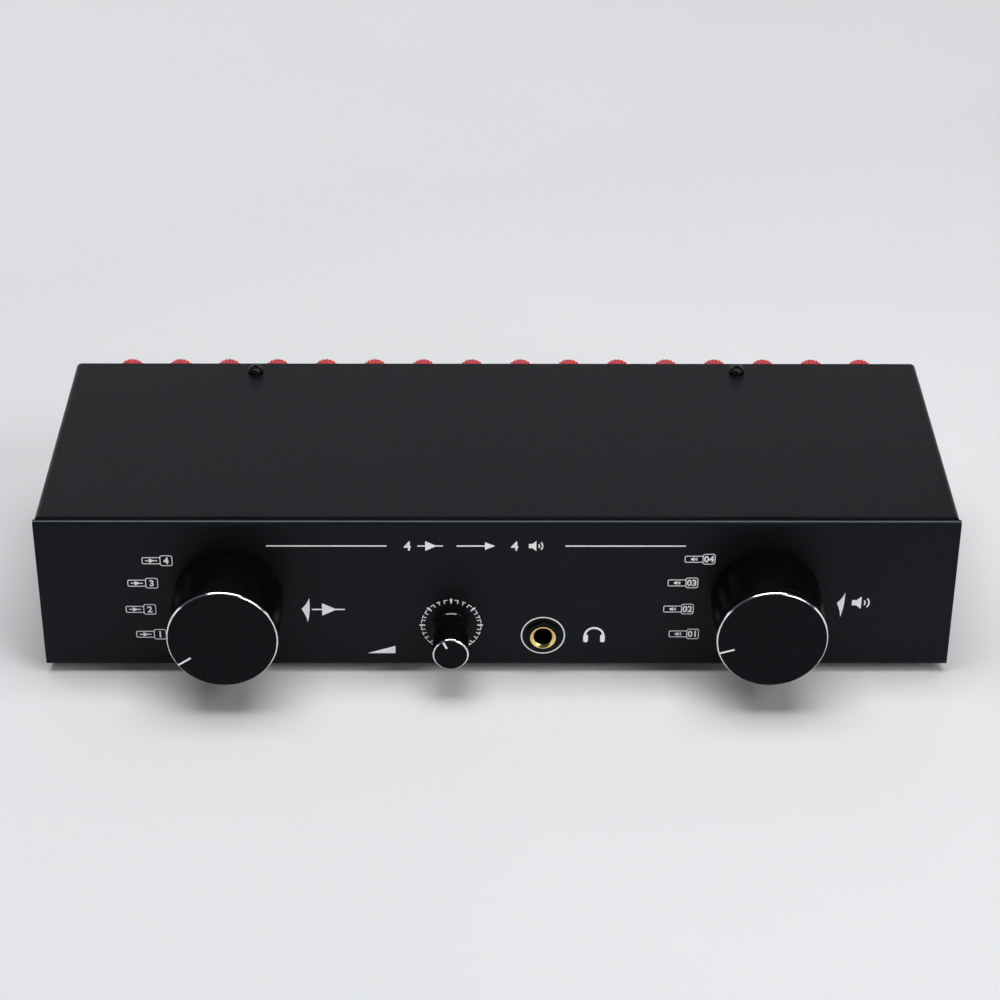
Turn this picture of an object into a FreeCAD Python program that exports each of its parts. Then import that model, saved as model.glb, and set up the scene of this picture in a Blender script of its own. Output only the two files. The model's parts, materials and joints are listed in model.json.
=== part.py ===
"""Speaker selector switch: a low steel case with two rotary selectors, a headphone volume control,
a headphone jack and two rows of binding posts.

Frame: millimetres, +Z up, +X to the right of someone facing the front panel, +Y towards the rear.
The origin is at the centre of the whole object's footprint, on the surface that its feet rest on.
"""
import FreeCAD, Part
import math
import os
import re

import Sketcher

document = FreeCAD.newDocument("speaker_selector_switch")

# ---------------------------------------------------------------------------------------------------
# Driving dimensions, in millimetres and degrees
# ---------------------------------------------------------------------------------------------------

DRIVING = {
    "Case": {
        "case_width": 310,
        "case_depth": 109.5,
        "case_height": 59,
        "sheet_thickness": 1.2,
        "tray_bend_radius": 1.5,
        "cover_bend_radius": 2.0,
        "top_flange_depth": 14,
        "side_flange_height": 14,
        "cover_side_setback": 0.5,
        "cover_front_gap": 0.15,
        "cover_rear_setback": 0.4,
        "sheet_clearance": 0.1,
        "flange_end_relief": 4,
    },
    "Feet": {
        "foot_height": 3,
        "foot_width": 13,
        "foot_tip_width": 11.6,
        "foot_inset_side": 22,
        "foot_inset_end": 16,
    },
    "Cover screws": {
        "screw_radius": 1.5,
        "screw_head_radius": 2.8,
        "screw_head_height": 2.3,
        "screw_head_crown_radius": 2.1,
        "screw_length": 5,
        "screw_hole_clearance": 0.2,
        "screw_spacing": 176,
        "screw_inset": 7,
    },
    "Selectors": {
        "selector_spacing": 182,
        "selector_height": 28,
        "selector_knob_radius": 18.5,
        "selector_knob_length": 24,
        "selector_knob_gap": 2,
        "selector_knob_bevel": 0.7,
        "selector_recess_radius": 10.5,
        "selector_recess_depth": 8,
        "selector_bore_depth": 20,
        "selector_pointer_length": 5.1,
        "selector_pointer_width": 0.55,
        "pointer_depth": 0.25,
        "input_pointer_angle": 236.3,
        "output_pointer_angle": 253,
        "grub_screw_radius": 1.5,
        "grub_screw_length": 8,
        "grub_screw_setback": 11,
    },
    "Switches": {
        "selector_shaft_radius": 3,
        "selector_shaft_flat": 0.6,
        "shaft_flat_length": 16,
        "shaft_end_gap": 0.5,
        "shaft_clearance": 0.05,
        "switch_bush_radius": 4.5,
        "switch_bush_length": 6,
        "bush_hole_clearance": 0.15,
        "index_width": 30,
        "index_depth": 8,
        "index_corner": 5,
        "wafer_radius": 18,
        "wafer_thickness": 1.6,
        "wafer_spacing": 9,
        "wafer_count": 2,
        "rotor_radius": 7,
        "rotor_clearance": 0.3,
        "rotor_overhang": 1.2,
        "spacer_width": 4.5,
        "spacer_offset": 12,
    },
    "Panel nuts": {
        "switch_nut_radius": 8,
        "switch_nut_thickness": 2.5,
        "volume_nut_radius": 5.6,
        "volume_nut_thickness": 1.6,
        "nut_clearance": 0.05,
    },
    "Volume": {
        "volume_axis": -15.65,
        "volume_height": 16.5,
        "volume_knob_radius": 6.1,
        "volume_knob_length": 15.9,
        "volume_knob_gap": 2.1,
        "volume_knob_bevel": 0.45,
        "volume_recess_radius": 4.4,
        "volume_recess_depth": 4,
        "volume_bore_depth": 13,
        "volume_pointer_length": 3.1,
        "volume_pointer_width": 0.7,
        "volume_pointer_angle": -26,
        "volume_shaft_radius": 3,
        "volume_bush_radius": 3.5,
        "volume_bush_length": 5,
        "pot_width": 16,
        "pot_rise": 8,
        "pot_drop": 11.5,
        "pot_depth": 12,
        "pot_shaft_engagement": 4,
    },
    "Headphone jack": {
        "jack_axis": 15.7,
        "jack_height": 12.3,
        "jack_bore_radius": 3.2,
        "jack_bush_radius": 4.4,
        "jack_bush_rim": 1.7,
        "jack_mouth_radius": 4.3,
        "jack_mouth_depth": 1.1,
        "jack_nut_radius": 6.2,
        "jack_nut_thickness": 1.3,
        "jack_body_width": 15,
        "jack_body_height": 17,
        "jack_body_depth": 25,
        "jack_bore_depth": 20,
    },
    "Binding posts": {
        "post_count": 16,
        "post_side_inset": 18.5,
        "post_top_inset": 12.5,
        "post_row_spacing": 24,
        "post_reach": 18,
        "stud_radius": 2,
        "stud_end_gap": 0.7,
        "stud_shank_width": 3.4,
        "stud_head_radius": 3.6,
        "stud_head_thickness": 2.4,
        "collar_radius": 5.6,
        "collar_thickness": 3,
        "collar_neck_width": 6.4,
        "collar_neck_clearance": 0.1,
        "collar_neck_protrusion": 1.6,
        "collar_bore_clearance": 0.1,
        "cap_radius": 5.2,
        "cap_bevel": 1.1,
        "cap_gap": 0.3,
        "cap_socket_clearance": 0.15,
        "cap_end_wall": 3,
        "cap_turn_step": 17,
    },
    "Regular outlines": {
        "hexagon_side_count": 6,
        "octagon_side_count": 8,
        "wafer_side_count": 12,
    },
    "Inside": {
        "board_thickness": 1.6,
        "board_side_clearance": 6,
        "board_margin": 6,
        "ribbon_width": 16,
        "ribbon_thickness": 2.4,
        "ribbon_bend_radius": 8,
        "ribbon_rise": 6,
        "ribbon_straight": 18,
        "link_ribbon_width": 8,
        "link_reach": 12,
        "link_bend_radius": 5,
        "link_offset": 12,
        "lead_width": 8,
    },
}

# Places worked out from the driving dimensions, as formulas in the same sheet
DERIVED = {
    "selector_reach": "selector_knob_length + selector_knob_gap",
    "front_face": "(selector_reach - post_reach - case_depth) / 2",
    "rear_face": "front_face + case_depth",
    "case_bottom": "foot_height",
    "case_top": "foot_height + case_height",
    "floor_top": "case_bottom + sheet_thickness",
    "front_inside": "front_face + sheet_thickness",
    "rear_inside": "rear_face - sheet_thickness",
    "flange_top": "case_top - sheet_thickness",
    "flange_underside": "flange_top - sheet_thickness",
    "cover_width": "case_width - 2 * cover_side_setback",
    "front_bend_end": "front_face + tray_bend_radius + sheet_clearance",
    "cover_front": "front_face + tray_bend_radius + cover_front_gap",
    "cover_rear": "rear_face - cover_rear_setback",
    "tray_inner_width": "cover_width - 2 * sheet_thickness - 2 * sheet_clearance",
    "screw_y": "rear_face - screw_inset",
    "selector_axis": "selector_spacing / 2",
    "selector_z": "case_bottom + selector_height",
    "selector_knob_rear": "front_face - selector_knob_gap",
    "selector_knob_face": "selector_knob_rear - selector_knob_length",
    "selector_shaft_front": "selector_knob_rear - selector_bore_depth + shaft_end_gap",
    "selector_flat_reach": "selector_shaft_radius - selector_shaft_flat",
    "grub_screw_y": "selector_knob_face + grub_screw_setback",
    "index_rear": "front_inside + index_depth",
    "wafer_pitch": "wafer_spacing + wafer_thickness",
    "wafer_stack_rear": "index_rear + wafer_count * wafer_pitch",
    "rotor_front": "index_rear + rotor_clearance",
    "rotor_rear": "wafer_stack_rear + rotor_overhang",
    "volume_z": "case_bottom + volume_height",
    "volume_knob_rear": "front_face - volume_knob_gap",
    "volume_knob_face": "volume_knob_rear - volume_knob_length",
    "volume_shaft_front": "volume_knob_rear - volume_bore_depth + shaft_end_gap",
    "volume_shaft_rear": "front_inside + pot_shaft_engagement",
    "pot_rear": "front_inside + pot_depth",
    "jack_z": "case_bottom + jack_height",
    "jack_rim": "front_face - jack_bush_rim",
    "jack_rear": "front_inside + jack_body_depth",
    "post_first": "post_side_inset - case_width / 2",
    "post_pitch": "-2 * post_first / (post_count - 1)",
    "post_upper_z": "case_top - post_top_inset",
    "post_lower_z": "post_upper_z - post_row_spacing",
    "collar_face": "rear_face + collar_thickness",
    "cap_start": "collar_face + cap_gap",
    "cap_length": "rear_face + post_reach - cap_start",
    "cap_socket_depth": "cap_length - cap_end_wall",
    "stud_length": "cap_gap + cap_socket_depth - stud_end_gap",
    "neck_front": "rear_inside - collar_neck_protrusion",
    "board_rear": "neck_front - stud_head_thickness",
    "board_front": "board_rear - board_thickness",
    "board_half_width": "tray_inner_width / 2 - board_side_clearance",
    "ribbon_low_z": "post_upper_z - ribbon_rise",
    "ribbon_bend_start": "wafer_stack_rear + ribbon_straight",
    "ribbon_bend_end": "board_front - ribbon_straight",
    "link_y": "wafer_stack_rear + link_reach",
    "link_z": "selector_z - link_offset",
    }


def fill_sheet():
    """Write the driving dimensions and the formulas into the document's spreadsheet."""
    sheet = document.addObject("Spreadsheet::Sheet", "dimensions")
    row = 1
    for title, values in DRIVING.items():
        sheet.set(f"A{row}", title)
        row += 1
        for alias, value in values.items():
            sheet.set(f"A{row}", alias)
            sheet.set(f"B{row}", str(value))
            sheet.setAlias(f"B{row}", alias)
            row += 1
    for alias, formula in DERIVED.items():
        sheet.set(f"A{row}", alias)
        sheet.set(f"B{row}", "=" + formula)
        sheet.setAlias(f"B{row}", alias)
        row += 1
    document.recompute()
    return sheet


sheet = fill_sheet()
ALIASES = set(DERIVED).union(*DRIVING.values())


def size(alias):
    """The present value of one alias of the sheet."""
    return float(sheet.get(alias))


def in_sheet(formula):
    """The formula with each alias of the sheet written out in full, for setExpression."""
    return re.sub(r"[a-z_]+", lambda word: "dimensions." * (word[0] in ALIASES) + word[0], formula)


# ---------------------------------------------------------------------------------------------------
# Shared construction helpers
# ---------------------------------------------------------------------------------------------------

# Rotations from the way a piece is drawn to the way it sits in the case
AS_DRAWN = FreeCAD.Rotation()
Y_DOWNWARDS = FreeCAD.Rotation(FreeCAD.Vector(1, 0, 0), -90)
Z_TO_REAR = FreeCAD.Rotation(FreeCAD.Vector(1, 0, 0), -90)

# Sides and switches by the sign of X that they lie at, and rows of posts by their height
SIDES = {"left": -1, "right": 1}
SELECTORS = {"input": -1, "output": 1}
ROWS = {"red": "post_upper_z", "black": "post_lower_z"}

nodes = {}


def node(feature, name):
    """Name a finished piece, or a group of like pieces, after its file."""
    feature.Label = name
    nodes[name] = feature
    return feature


def number(formula):
    """The present value of a formula over the sheet."""
    return float(sheet.evalExpression(str(formula)))


def bind(feature, **formulas):
    """Tie properties of a feature to formulas over the sheet; x, y and z stand for its position."""
    for name, formula in formulas.items():
        path = f".Placement.Base.{name}" if name in ("x", "y", "z") else name
        feature.setExpression(path, in_sheet(str(formula)))
    return feature


def group(name, pieces):
    """Separate solids kept together in one node."""
    feature = document.addObject("Part::Compound", name)
    feature.Links = pieces
    return feature


def new_body(name, rotation=AS_DRAWN, several=False, **place):
    """An empty PartDesign body at a place that follows the sheet; several allows separate solids."""
    body = document.addObject("PartDesign::Body", name)
    body.Placement = FreeCAD.Placement(FreeCAD.Vector(), rotation)
    body.AllowCompound = several
    return bind(body, **place)


def turn_body(body, angle):
    """Turn a body about its own Y axis by an angle of the sheet, clockwise as seen from the front."""
    turn = FreeCAD.Rotation(FreeCAD.Vector(0, 1, 0), number(angle))
    body.Placement = FreeCAD.Placement(FreeCAD.Vector(), turn)
    body.setExpression(".Placement.Rotation.Angle", in_sheet(angle))
    return body


def origin_item(body, role):
    """One of a body's own origin planes or axes."""
    return next(item for item in body.Origin.OriginFeatures if item.Role == role)


class Profile:
    """Closed outlines in one sketch on an origin plane of a body.

    Every corner is held by two signed distances from the sketch's origin, each bound to a formula.
    """

    def __init__(self, body, name, role, offset=None):
        self.sketch = body.newObject("Sketcher::SketchObject", name)
        self.sketch.AttachmentSupport = [(origin_item(body, role), "")]
        self.sketch.MapMode = "FlatFace"
        self.sketch.Visibility = False
        if offset is not None:
            self.sketch.setExpression(".AttachmentOffset.Base.z", in_sheet(offset))

    def polygon(self, corners):
        """Draw a closed outline of straight edges through corners given as pairs of formulas."""
        points = [FreeCAD.Vector(number(u), number(v), 0) for u, v in corners]
        first = self.sketch.GeometryCount
        count = len(points)
        for index, point in enumerate(points):
            edge = Part.LineSegment(point, points[(index + 1) % count])
            self.sketch.addGeometry(edge, False)
        for index in range(count):
            before = first + (index - 1) % count
            self.sketch.addConstraint(Sketcher.Constraint("Coincident", before, 2, first + index, 1))
        for index, (u, v) in enumerate(corners):
            self._hold(first + index, 1, u, v)
        return self

    def rectangle(self, u_low, v_low, u_high, v_high):
        """Draw a rectangle between two opposite corners."""
        return self.polygon([(u_low, v_low), (u_high, v_low), (u_high, v_high), (u_low, v_high)])

    def regular(self, side_count, radius, u="0", v="0"):
        """Draw a regular polygon of a named count of sides with its corners on a circle."""
        count = int(size(side_count))
        corners = []
        for index in range(count):
            angle = 360 * (index + 0.5) / count
            corners.append((f"{u} + {radius} * cos({angle})", f"{v} + {radius} * sin({angle})"))
        return self.polygon(corners)

    def circle(self, radius, u="0", v="0"):
        """Draw a circle about a point."""
        centre = FreeCAD.Vector(number(u), number(v), 0)
        shape = Part.Circle(centre, FreeCAD.Vector(0, 0, 1), number(radius))
        index = self.sketch.addGeometry(shape, False)
        radius_held = self.sketch.addConstraint(Sketcher.Constraint("Radius", index, number(radius)))
        self.sketch.setExpression(f"Constraints[{radius_held}]", in_sheet(radius))
        self._hold(index, 3, u, v)
        return self

    def _hold(self, edge, end, u, v):
        """Fix one point at two signed distances from the sketch's origin."""
        for kind, formula in (("DistanceX", u), ("DistanceY", v)):
            held = Sketcher.Constraint(kind, -1, 1, edge, end, number(formula))
            index = self.sketch.addConstraint(held)
            self.sketch.setExpression(f"Constraints[{index}]", in_sheet(str(formula)))


def pad(body, name, profile, length, **options):
    """Add the profile's outline to a body over a length, along the plane's normal unless Reversed."""
    feature = body.newObject("PartDesign::Pad", name)
    feature.Profile = profile.sketch
    for option, value in options.items():
        setattr(feature, option, value)
    bind(feature, Length=length)
    body.Tip = feature
    return feature


def pocket(body, name, profile, length, **options):
    """Cut the profile's outline out of a body, against the plane's normal unless Reversed."""
    feature = body.newObject("PartDesign::Pocket", name)
    feature.Profile = profile.sketch
    for option, value in options.items():
        setattr(feature, option, value)
    bind(feature, Length=length)
    body.Tip = feature
    return feature


def revolve(body, name, corners):
    """Turn an outline of (radius, place along the axis) corners about the body's Y axis."""
    outline = Profile(body, name + "_outline", "XY_Plane").polygon(corners)
    feature = body.newObject("PartDesign::Revolution", name)
    feature.Profile = outline.sketch
    feature.ReferenceAxis = (origin_item(body, "Y_Axis"), [""])
    feature.Angle = 360
    body.Tip = feature
    return feature


def turned_piece(name, corners, rotation=AS_DRAWN, **place):
    """A piece turned about its own Y axis, as on a lathe."""
    body = new_body(name, rotation, **place)
    revolve(body, name + "_turned", corners)
    return body


def round_corners(body, name, radius, chosen):
    """Round those edges of the body's latest feature that the test picks."""
    document.recompute()
    base = body.Tip
    names = [f"Edge{index + 1}" for index, edge in enumerate(base.Shape.Edges) if chosen(edge)]
    feature = body.newObject("PartDesign::Fillet", name)
    feature.Base = (base, names)
    feature.Radius = number(radius)
    bind(feature, Radius=radius)
    body.Tip = feature
    return feature


def edge_along(edge, axis):
    """Whether an edge is straight and runs along one of the row's axes."""
    return isinstance(edge.Curve, Part.Line) and abs(getattr(edge.Curve.Direction, axis)) > 0.999


def edge_at(edge, **places):
    """Whether an edge's middle lies at each of the named places, such as y of a formula."""
    middle = edge.CenterOfMass
    return all(abs(getattr(middle, axis) - number(formula)) < 1e-4 for axis, formula in places.items())


# ---------------------------------------------------------------------------------------------------
# Case: tray, cover, screws and feet
# ---------------------------------------------------------------------------------------------------


def chassis_tray():
    """Folded steel tray: front wall, bottom and rear wall with flanges on top and at both sides."""
    body = new_body("tray")
    section = Profile(body, "tray_section", "YZ_Plane").polygon([
        ("front_face", "case_bottom"),
        ("rear_face", "case_bottom"),
        ("rear_face", "flange_top"),
        ("rear_face - top_flange_depth", "flange_top"),
        ("rear_face - top_flange_depth", "flange_underside"),
        ("rear_inside", "flange_underside"),
        ("rear_inside", "floor_top"),
        ("front_inside", "floor_top"),
        ("front_inside", "flange_underside"),
        ("front_face + top_flange_depth", "flange_underside"),
        ("front_face + top_flange_depth", "flange_top"),
        ("front_face", "flange_top"),
    ])
    pad(body, "tray_sheet", section, "case_width", SideType="Symmetric")
    corners = [(y, z) for y in ("front_face", "rear_face") for z in ("case_bottom", "flange_top")]
    round_corners(body, "tray_bends", "tray_bend_radius", lambda edge: edge_along(edge, "x") and any(
        edge_at(edge, y=y, z=z) for y, z in corners))

    floor_ends = Profile(body, "tray_floor_ends", "XY_Plane")
    flange_ends = Profile(body, "tray_flange_ends", "XY_Plane", "floor_top")
    side_flanges = Profile(body, "tray_side_flanges", "XY_Plane", "case_bottom")
    for side in SIDES.values():
        edge, beyond = f"{side} * tray_inner_width / 2", f"{side} * case_width"
        floor_ends.rectangle(edge, "front_bend_end", beyond, "rear_face + case_depth")
        flange_ends.rectangle(f"{side} * (tray_inner_width / 2 - flange_end_relief)", "front_bend_end",
                              beyond, "rear_inside - sheet_clearance")
        side_flanges.rectangle(f"{side} * (tray_inner_width / 2 - sheet_thickness)", "front_bend_end",
                               edge, "rear_inside - sheet_clearance")
    pocket(body, "tray_floor_trim", floor_ends, "case_height", SideType="Symmetric", Type="ThroughAll")
    pocket(body, "tray_flange_trim", flange_ends, "case_height", Reversed=True)
    pad(body, "tray_sides", side_flanges, "side_flange_height")

    controls = Profile(body, "tray_control_holes", "XZ_Plane", "-front_face")
    for side in SIDES.values():
        controls.circle("switch_bush_radius + bush_hole_clearance", f"{side} * selector_axis",
                        "selector_z")
    controls.circle("volume_bush_radius + bush_hole_clearance", "volume_axis", "volume_z")
    controls.circle("jack_bush_radius + bush_hole_clearance", "jack_axis", "jack_z")
    pocket(body, "tray_control_cuts", controls, "2 * sheet_thickness")

    posts = Profile(body, "tray_post_holes", "XZ_Plane", "-rear_face")
    reach = "(collar_neck_width / 2 + collar_neck_clearance)"
    for height in ROWS.values():
        posts.rectangle(f"post_first - {reach}", f"{height} - {reach}",
                        f"post_first + {reach}", f"{height} + {reach}")
    first_cut = pocket(body, "tray_post_cut", posts, "2 * sheet_thickness", Reversed=True)
    repeat_along_row(body, "tray_post_cuts", [first_cut])

    drill_screw_holes(body, "tray")
    return node(body, "chassis_tray")


def repeat_along_row(body, name, originals):
    """Repeat features from the first post to the last one of its row."""
    document.recompute()
    pattern = body.newObject("PartDesign::LinearPattern", name)
    pattern.Originals = originals
    pattern.Direction = (origin_item(body, "X_Axis"), [""])
    pattern.Mode = "Spacing"
    bind(pattern, Offset="post_pitch", Occurrences="post_count")
    body.Tip = pattern
    return pattern


def drill_screw_holes(body, name):
    """Drill the two holes that the cover and the tray's rear flange share."""
    holes = Profile(body, name + "_screw_holes", "XY_Plane", "case_top")
    for side in SIDES.values():
        holes.circle("screw_radius + screw_hole_clearance", f"{side} * screw_spacing / 2", "screw_y")
    return pocket(body, name + "_screw_cuts", holes, "3 * sheet_thickness")


def top_cover():
    """Folded steel cover: top and two sides, lying on the tray's flanges."""
    body = new_body("cover")
    half_width, half_inside = "cover_width / 2", "(cover_width / 2 - sheet_thickness)"
    section = Profile(body, "cover_section", "XZ_Plane", "-cover_rear").polygon([
        (f"-{half_width}", "case_bottom"),
        (f"-{half_inside}", "case_bottom"),
        (f"-{half_inside}", "flange_top"),
        (half_inside, "flange_top"),
        (half_inside, "case_bottom"),
        (half_width, "case_bottom"),
        (half_width, "case_top"),
        (f"-{half_width}", "case_top"),
    ])
    pad(body, "cover_sheet", section, "cover_rear - cover_front")
    round_corners(body, "cover_bends", "cover_bend_radius", lambda edge: edge_along(edge, "y") and any(
        edge_at(edge, x=f"{side} * cover_width / 2", z="case_top") for side in SIDES.values()))
    drill_screw_holes(body, "cover")
    return node(body, "top_cover")


def cover_screws():
    """Two pan head screws at the rear of the top, drawn with their thread pointing along +Y."""
    screws = []
    for name, side in SIDES.items():
        screws.append(turned_piece(f"screw_{name}", [
            ("0", "-screw_head_height"),
            ("screw_head_crown_radius", "-screw_head_height"),
            ("screw_head_radius", "0"),
            ("screw_radius", "0"),
            ("screw_radius", "screw_length"),
            ("0", "screw_length"),
        ], Y_DOWNWARDS, x=f"{side} * screw_spacing / 2", y="screw_y", z="case_top"))
    return node(group("screws", screws), "cover_screws")


def rubber_feet():
    """Four square bumpers with drawn-in soles, stuck under the corners of the tray."""
    feet = []
    for name, side in SIDES.items():
        for end, y in (("front", "front_face + foot_inset_end"), ("rear", "rear_face - foot_inset_end")):
            body = new_body(f"foot_{end}_{name}", x=f"{side} * (case_width / 2 - foot_inset_side)", y=y)
            sole = Profile(body, body.Name + "_sole", "XY_Plane")
            sole.rectangle("-foot_tip_width / 2", "-foot_tip_width / 2", "foot_tip_width / 2",
                           "foot_tip_width / 2")
            top = Profile(body, body.Name + "_top", "XY_Plane", "foot_height")
            top.rectangle("-foot_width / 2", "-foot_width / 2", "foot_width / 2", "foot_width / 2")
            loft = body.newObject("PartDesign::AdditiveLoft", body.Name + "_loft")
            loft.Profile = sole.sketch
            loft.Sections = [top.sketch]
            loft.Ruled = True
            body.Tip = loft
            feet.append(body)
    return node(group("feet", feet), "rubber_feet")


# ---------------------------------------------------------------------------------------------------
# Selector controls: knob, grub screw, shaft and rotor turn together inside a housing with wafers
# ---------------------------------------------------------------------------------------------------


def knob(name, prefix, angle, **place):
    """Turned knob with a bevelled face, a pointer slot, and a bore and nut recess from the rear.

    It is drawn with its pointer upwards and then turned by the angle.
    """
    body = turn_body(new_body(name), angle)
    bind(body, **place)
    radius, face, rear = f"{prefix}_knob_radius", f"{prefix}_knob_face", f"{prefix}_knob_rear"
    bore_radius = f"({prefix}_shaft_radius + shaft_clearance)"
    revolve(body, name + "_turned", [
        ("0", face),
        (f"{radius} - {prefix}_knob_bevel", face),
        (radius, f"{face} + {prefix}_knob_bevel"),
        (radius, rear),
        (f"{prefix}_recess_radius", rear),
        (f"{prefix}_recess_radius", f"{rear} - {prefix}_recess_depth"),
        (bore_radius, f"{rear} - {prefix}_recess_depth"),
        (bore_radius, f"{rear} - {prefix}_bore_depth"),
        ("0", f"{rear} - {prefix}_bore_depth"),
    ])
    slot = Profile(body, name + "_pointer_outline", "XZ_Plane", f"-{face}")
    slot.rectangle(f"-{prefix}_pointer_width / 2", f"{radius} - {prefix}_pointer_length",
                   f"{prefix}_pointer_width / 2", f"{radius} + {prefix}_knob_bevel")
    pocket(body, name + "_pointer", slot, "pointer_depth")
    return body


def selector_knob(which, side):
    """Selector knob with a threaded hole for its grub screw opposite the pointer."""
    body = knob(f"{which}_knob_body", "selector", f"{which}_pointer_angle",
                x=f"{side} * selector_axis", z="selector_z")
    hole = Profile(body, f"{which}_knob_grub_outline", "XY_Plane")
    hole.circle("grub_screw_radius + shaft_clearance", "0", "grub_screw_y")
    pocket(body, f"{which}_knob_grub_hole", hole, "selector_knob_radius + selector_knob_bevel")
    return node(body, f"{which}_knob")


def grub_screw(which, side):
    """Headless screw that presses on the flat of the shaft."""
    body = turn_body(new_body(f"{which}_grub_body"), f"{which}_pointer_angle")
    bind(body, x=f"{side} * selector_axis", z="selector_z")
    outline = Profile(body, f"{which}_grub_outline", "XY_Plane", "-selector_flat_reach")
    outline.circle("grub_screw_radius", "0", "grub_screw_y")
    pad(body, f"{which}_grub_length", outline, "grub_screw_length", Reversed=True)
    return node(body, f"{which}_knob_grub_screw")


def switch_shaft(which, side):
    """Round shaft with a flat along the stretch that lies in the knob."""
    body = turn_body(new_body(f"{which}_shaft_body"), f"{which}_pointer_angle")
    bind(body, x=f"{side} * selector_axis", z="selector_z")
    revolve(body, f"{which}_shaft_turned", [
        ("0", "selector_shaft_front"),
        ("selector_shaft_radius", "selector_shaft_front"),
        ("selector_shaft_radius", "rotor_rear"),
        ("0", "rotor_rear"),
    ])
    flat = Profile(body, f"{which}_shaft_flat_outline", "XZ_Plane", "-selector_shaft_front")
    flat.rectangle("-selector_shaft_radius", "-2 * selector_shaft_radius",
                   "selector_shaft_radius", "-selector_flat_reach")
    pocket(body, f"{which}_shaft_flat", flat, "shaft_flat_length")
    return node(body, f"{which}_switch_shaft")


def switch_rotor(which, side):
    """Moulded drum on the shaft that carries the moving contacts through every wafer."""
    body = turned_piece(f"{which}_rotor_body", [
        ("selector_shaft_radius + shaft_clearance", "rotor_front"),
        ("rotor_radius", "rotor_front"),
        ("rotor_radius", "rotor_rear"),
        ("selector_shaft_radius + shaft_clearance", "rotor_rear"),
    ], x=f"{side} * selector_axis", z="selector_z")
    return node(body, f"{which}_switch_rotor")


def switch_housing(which, side):
    """Index housing with cut corners and the bush that passes through the panel."""
    body = new_body(f"{which}_housing_body", x=f"{side} * selector_axis", z="selector_z")
    half, cut = "index_width / 2", "(index_width / 2 - index_corner)"
    corners = []
    for u, v in ((half, cut), (cut, half)):
        corners += [(u, v), (f"-{v}", u), (f"-{u}", f"-{v}"), (v, f"-{u}")]
    ordered = sorted(corners, key=lambda corner: math.atan2(number(corner[1]), number(corner[0])))
    plate = Profile(body, f"{which}_housing_plate_outline", "XZ_Plane", "-index_rear").polygon(ordered)
    pad(body, f"{which}_housing_plate", plate, "index_depth")
    bush = Profile(body, f"{which}_housing_bush_outline", "XZ_Plane", "-front_inside")
    bush.circle("switch_bush_radius")
    pad(body, f"{which}_housing_bush", bush, "sheet_thickness + switch_bush_length")
    bore = Profile(body, f"{which}_housing_bore_outline", "XZ_Plane", "-index_rear")
    bore.circle("selector_shaft_radius + shaft_clearance")
    pocket(body, f"{which}_housing_bore", bore, "index_depth + 2 * switch_bush_length", Reversed=True)
    return node(body, f"{which}_switch_housing")


def switch_wafers():
    """Contact wafers of both switches, each with two spacers to the piece in front of it."""
    stacks = []
    for which, side in SELECTORS.items():
        body = new_body(f"{which}_wafer_body", several=True, x=f"{side} * selector_axis", z="selector_z")
        plate = Profile(body, f"{which}_wafer_outline", "XZ_Plane", "-(index_rear + wafer_pitch)")
        plate.regular("wafer_side_count", "wafer_radius").circle("rotor_radius + rotor_clearance")
        first_plate = pad(body, f"{which}_wafer", plate, "wafer_thickness")
        spacers = Profile(body, f"{which}_spacer_outline", "XZ_Plane", "-(index_rear + wafer_spacing)")
        for spacer_side in SIDES.values():
            middle = f"{spacer_side} * spacer_offset"
            spacers.rectangle(f"{middle} - spacer_width / 2", "-spacer_width / 2",
                              f"{middle} + spacer_width / 2", "spacer_width / 2")
        first_spacers = pad(body, f"{which}_spacers", spacers, "wafer_spacing")
        document.recompute()
        pattern = body.newObject("PartDesign::LinearPattern", f"{which}_wafer_stack")
        pattern.Originals = [first_plate, first_spacers]
        pattern.Direction = (origin_item(body, "Y_Axis"), [""])
        pattern.Mode = "Spacing"
        bind(pattern, Offset="wafer_pitch", Occurrences="wafer_count")
        body.Tip = pattern
        stacks.append(body)
    return node(group("wafers", stacks), "switch_wafers")


# ---------------------------------------------------------------------------------------------------
# Volume control, panel nuts and headphone jack
# ---------------------------------------------------------------------------------------------------


def volume_control():
    """Push-on knob, shaft, and potentiometer body with its bush."""
    place = {"x": "volume_axis", "z": "volume_z"}
    node(knob("volume_knob_body", "volume", "volume_pointer_angle", **place), "volume_knob")
    shaft = turned_piece("volume_shaft_body", [
        ("0", "volume_shaft_front"),
        ("volume_shaft_radius", "volume_shaft_front"),
        ("volume_shaft_radius", "volume_shaft_rear"),
        ("0", "volume_shaft_rear"),
    ], **place)
    node(shaft, "volume_pot_shaft")
    pot = new_body("pot_case", **place)
    case = Profile(pot, "pot_case_outline", "XZ_Plane", "-pot_rear")
    case.rectangle("-pot_width / 2", "-pot_drop", "pot_width / 2", "pot_rise")
    pad(pot, "pot_case_block", case, "pot_depth")
    bush = Profile(pot, "pot_bush_outline", "XZ_Plane", "-front_inside")
    bush.circle("volume_bush_radius")
    pad(pot, "pot_bush", bush, "sheet_thickness + volume_bush_length")
    bore = Profile(pot, "pot_bore_outline", "XZ_Plane", "-(front_face - volume_bush_length)")
    bore.circle("volume_shaft_radius + shaft_clearance")
    pocket(pot, "pot_bore", bore, "volume_shaft_rear - front_face + volume_bush_length + shaft_end_gap")
    node(pot, "volume_pot_body")


def hexagon_nut(name, prefix, **place):
    """A plain hexagon nut on its bush, against the front wall."""
    body = new_body(name, **place)
    outline = Profile(body, name + "_outline", "XZ_Plane", "-front_face")
    outline.regular("hexagon_side_count", f"{prefix}_nut_radius")
    outline.circle(f"{prefix}_bush_radius + nut_clearance")
    pad(body, name + "_thickness", outline, f"{prefix}_nut_thickness")
    return body


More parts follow.
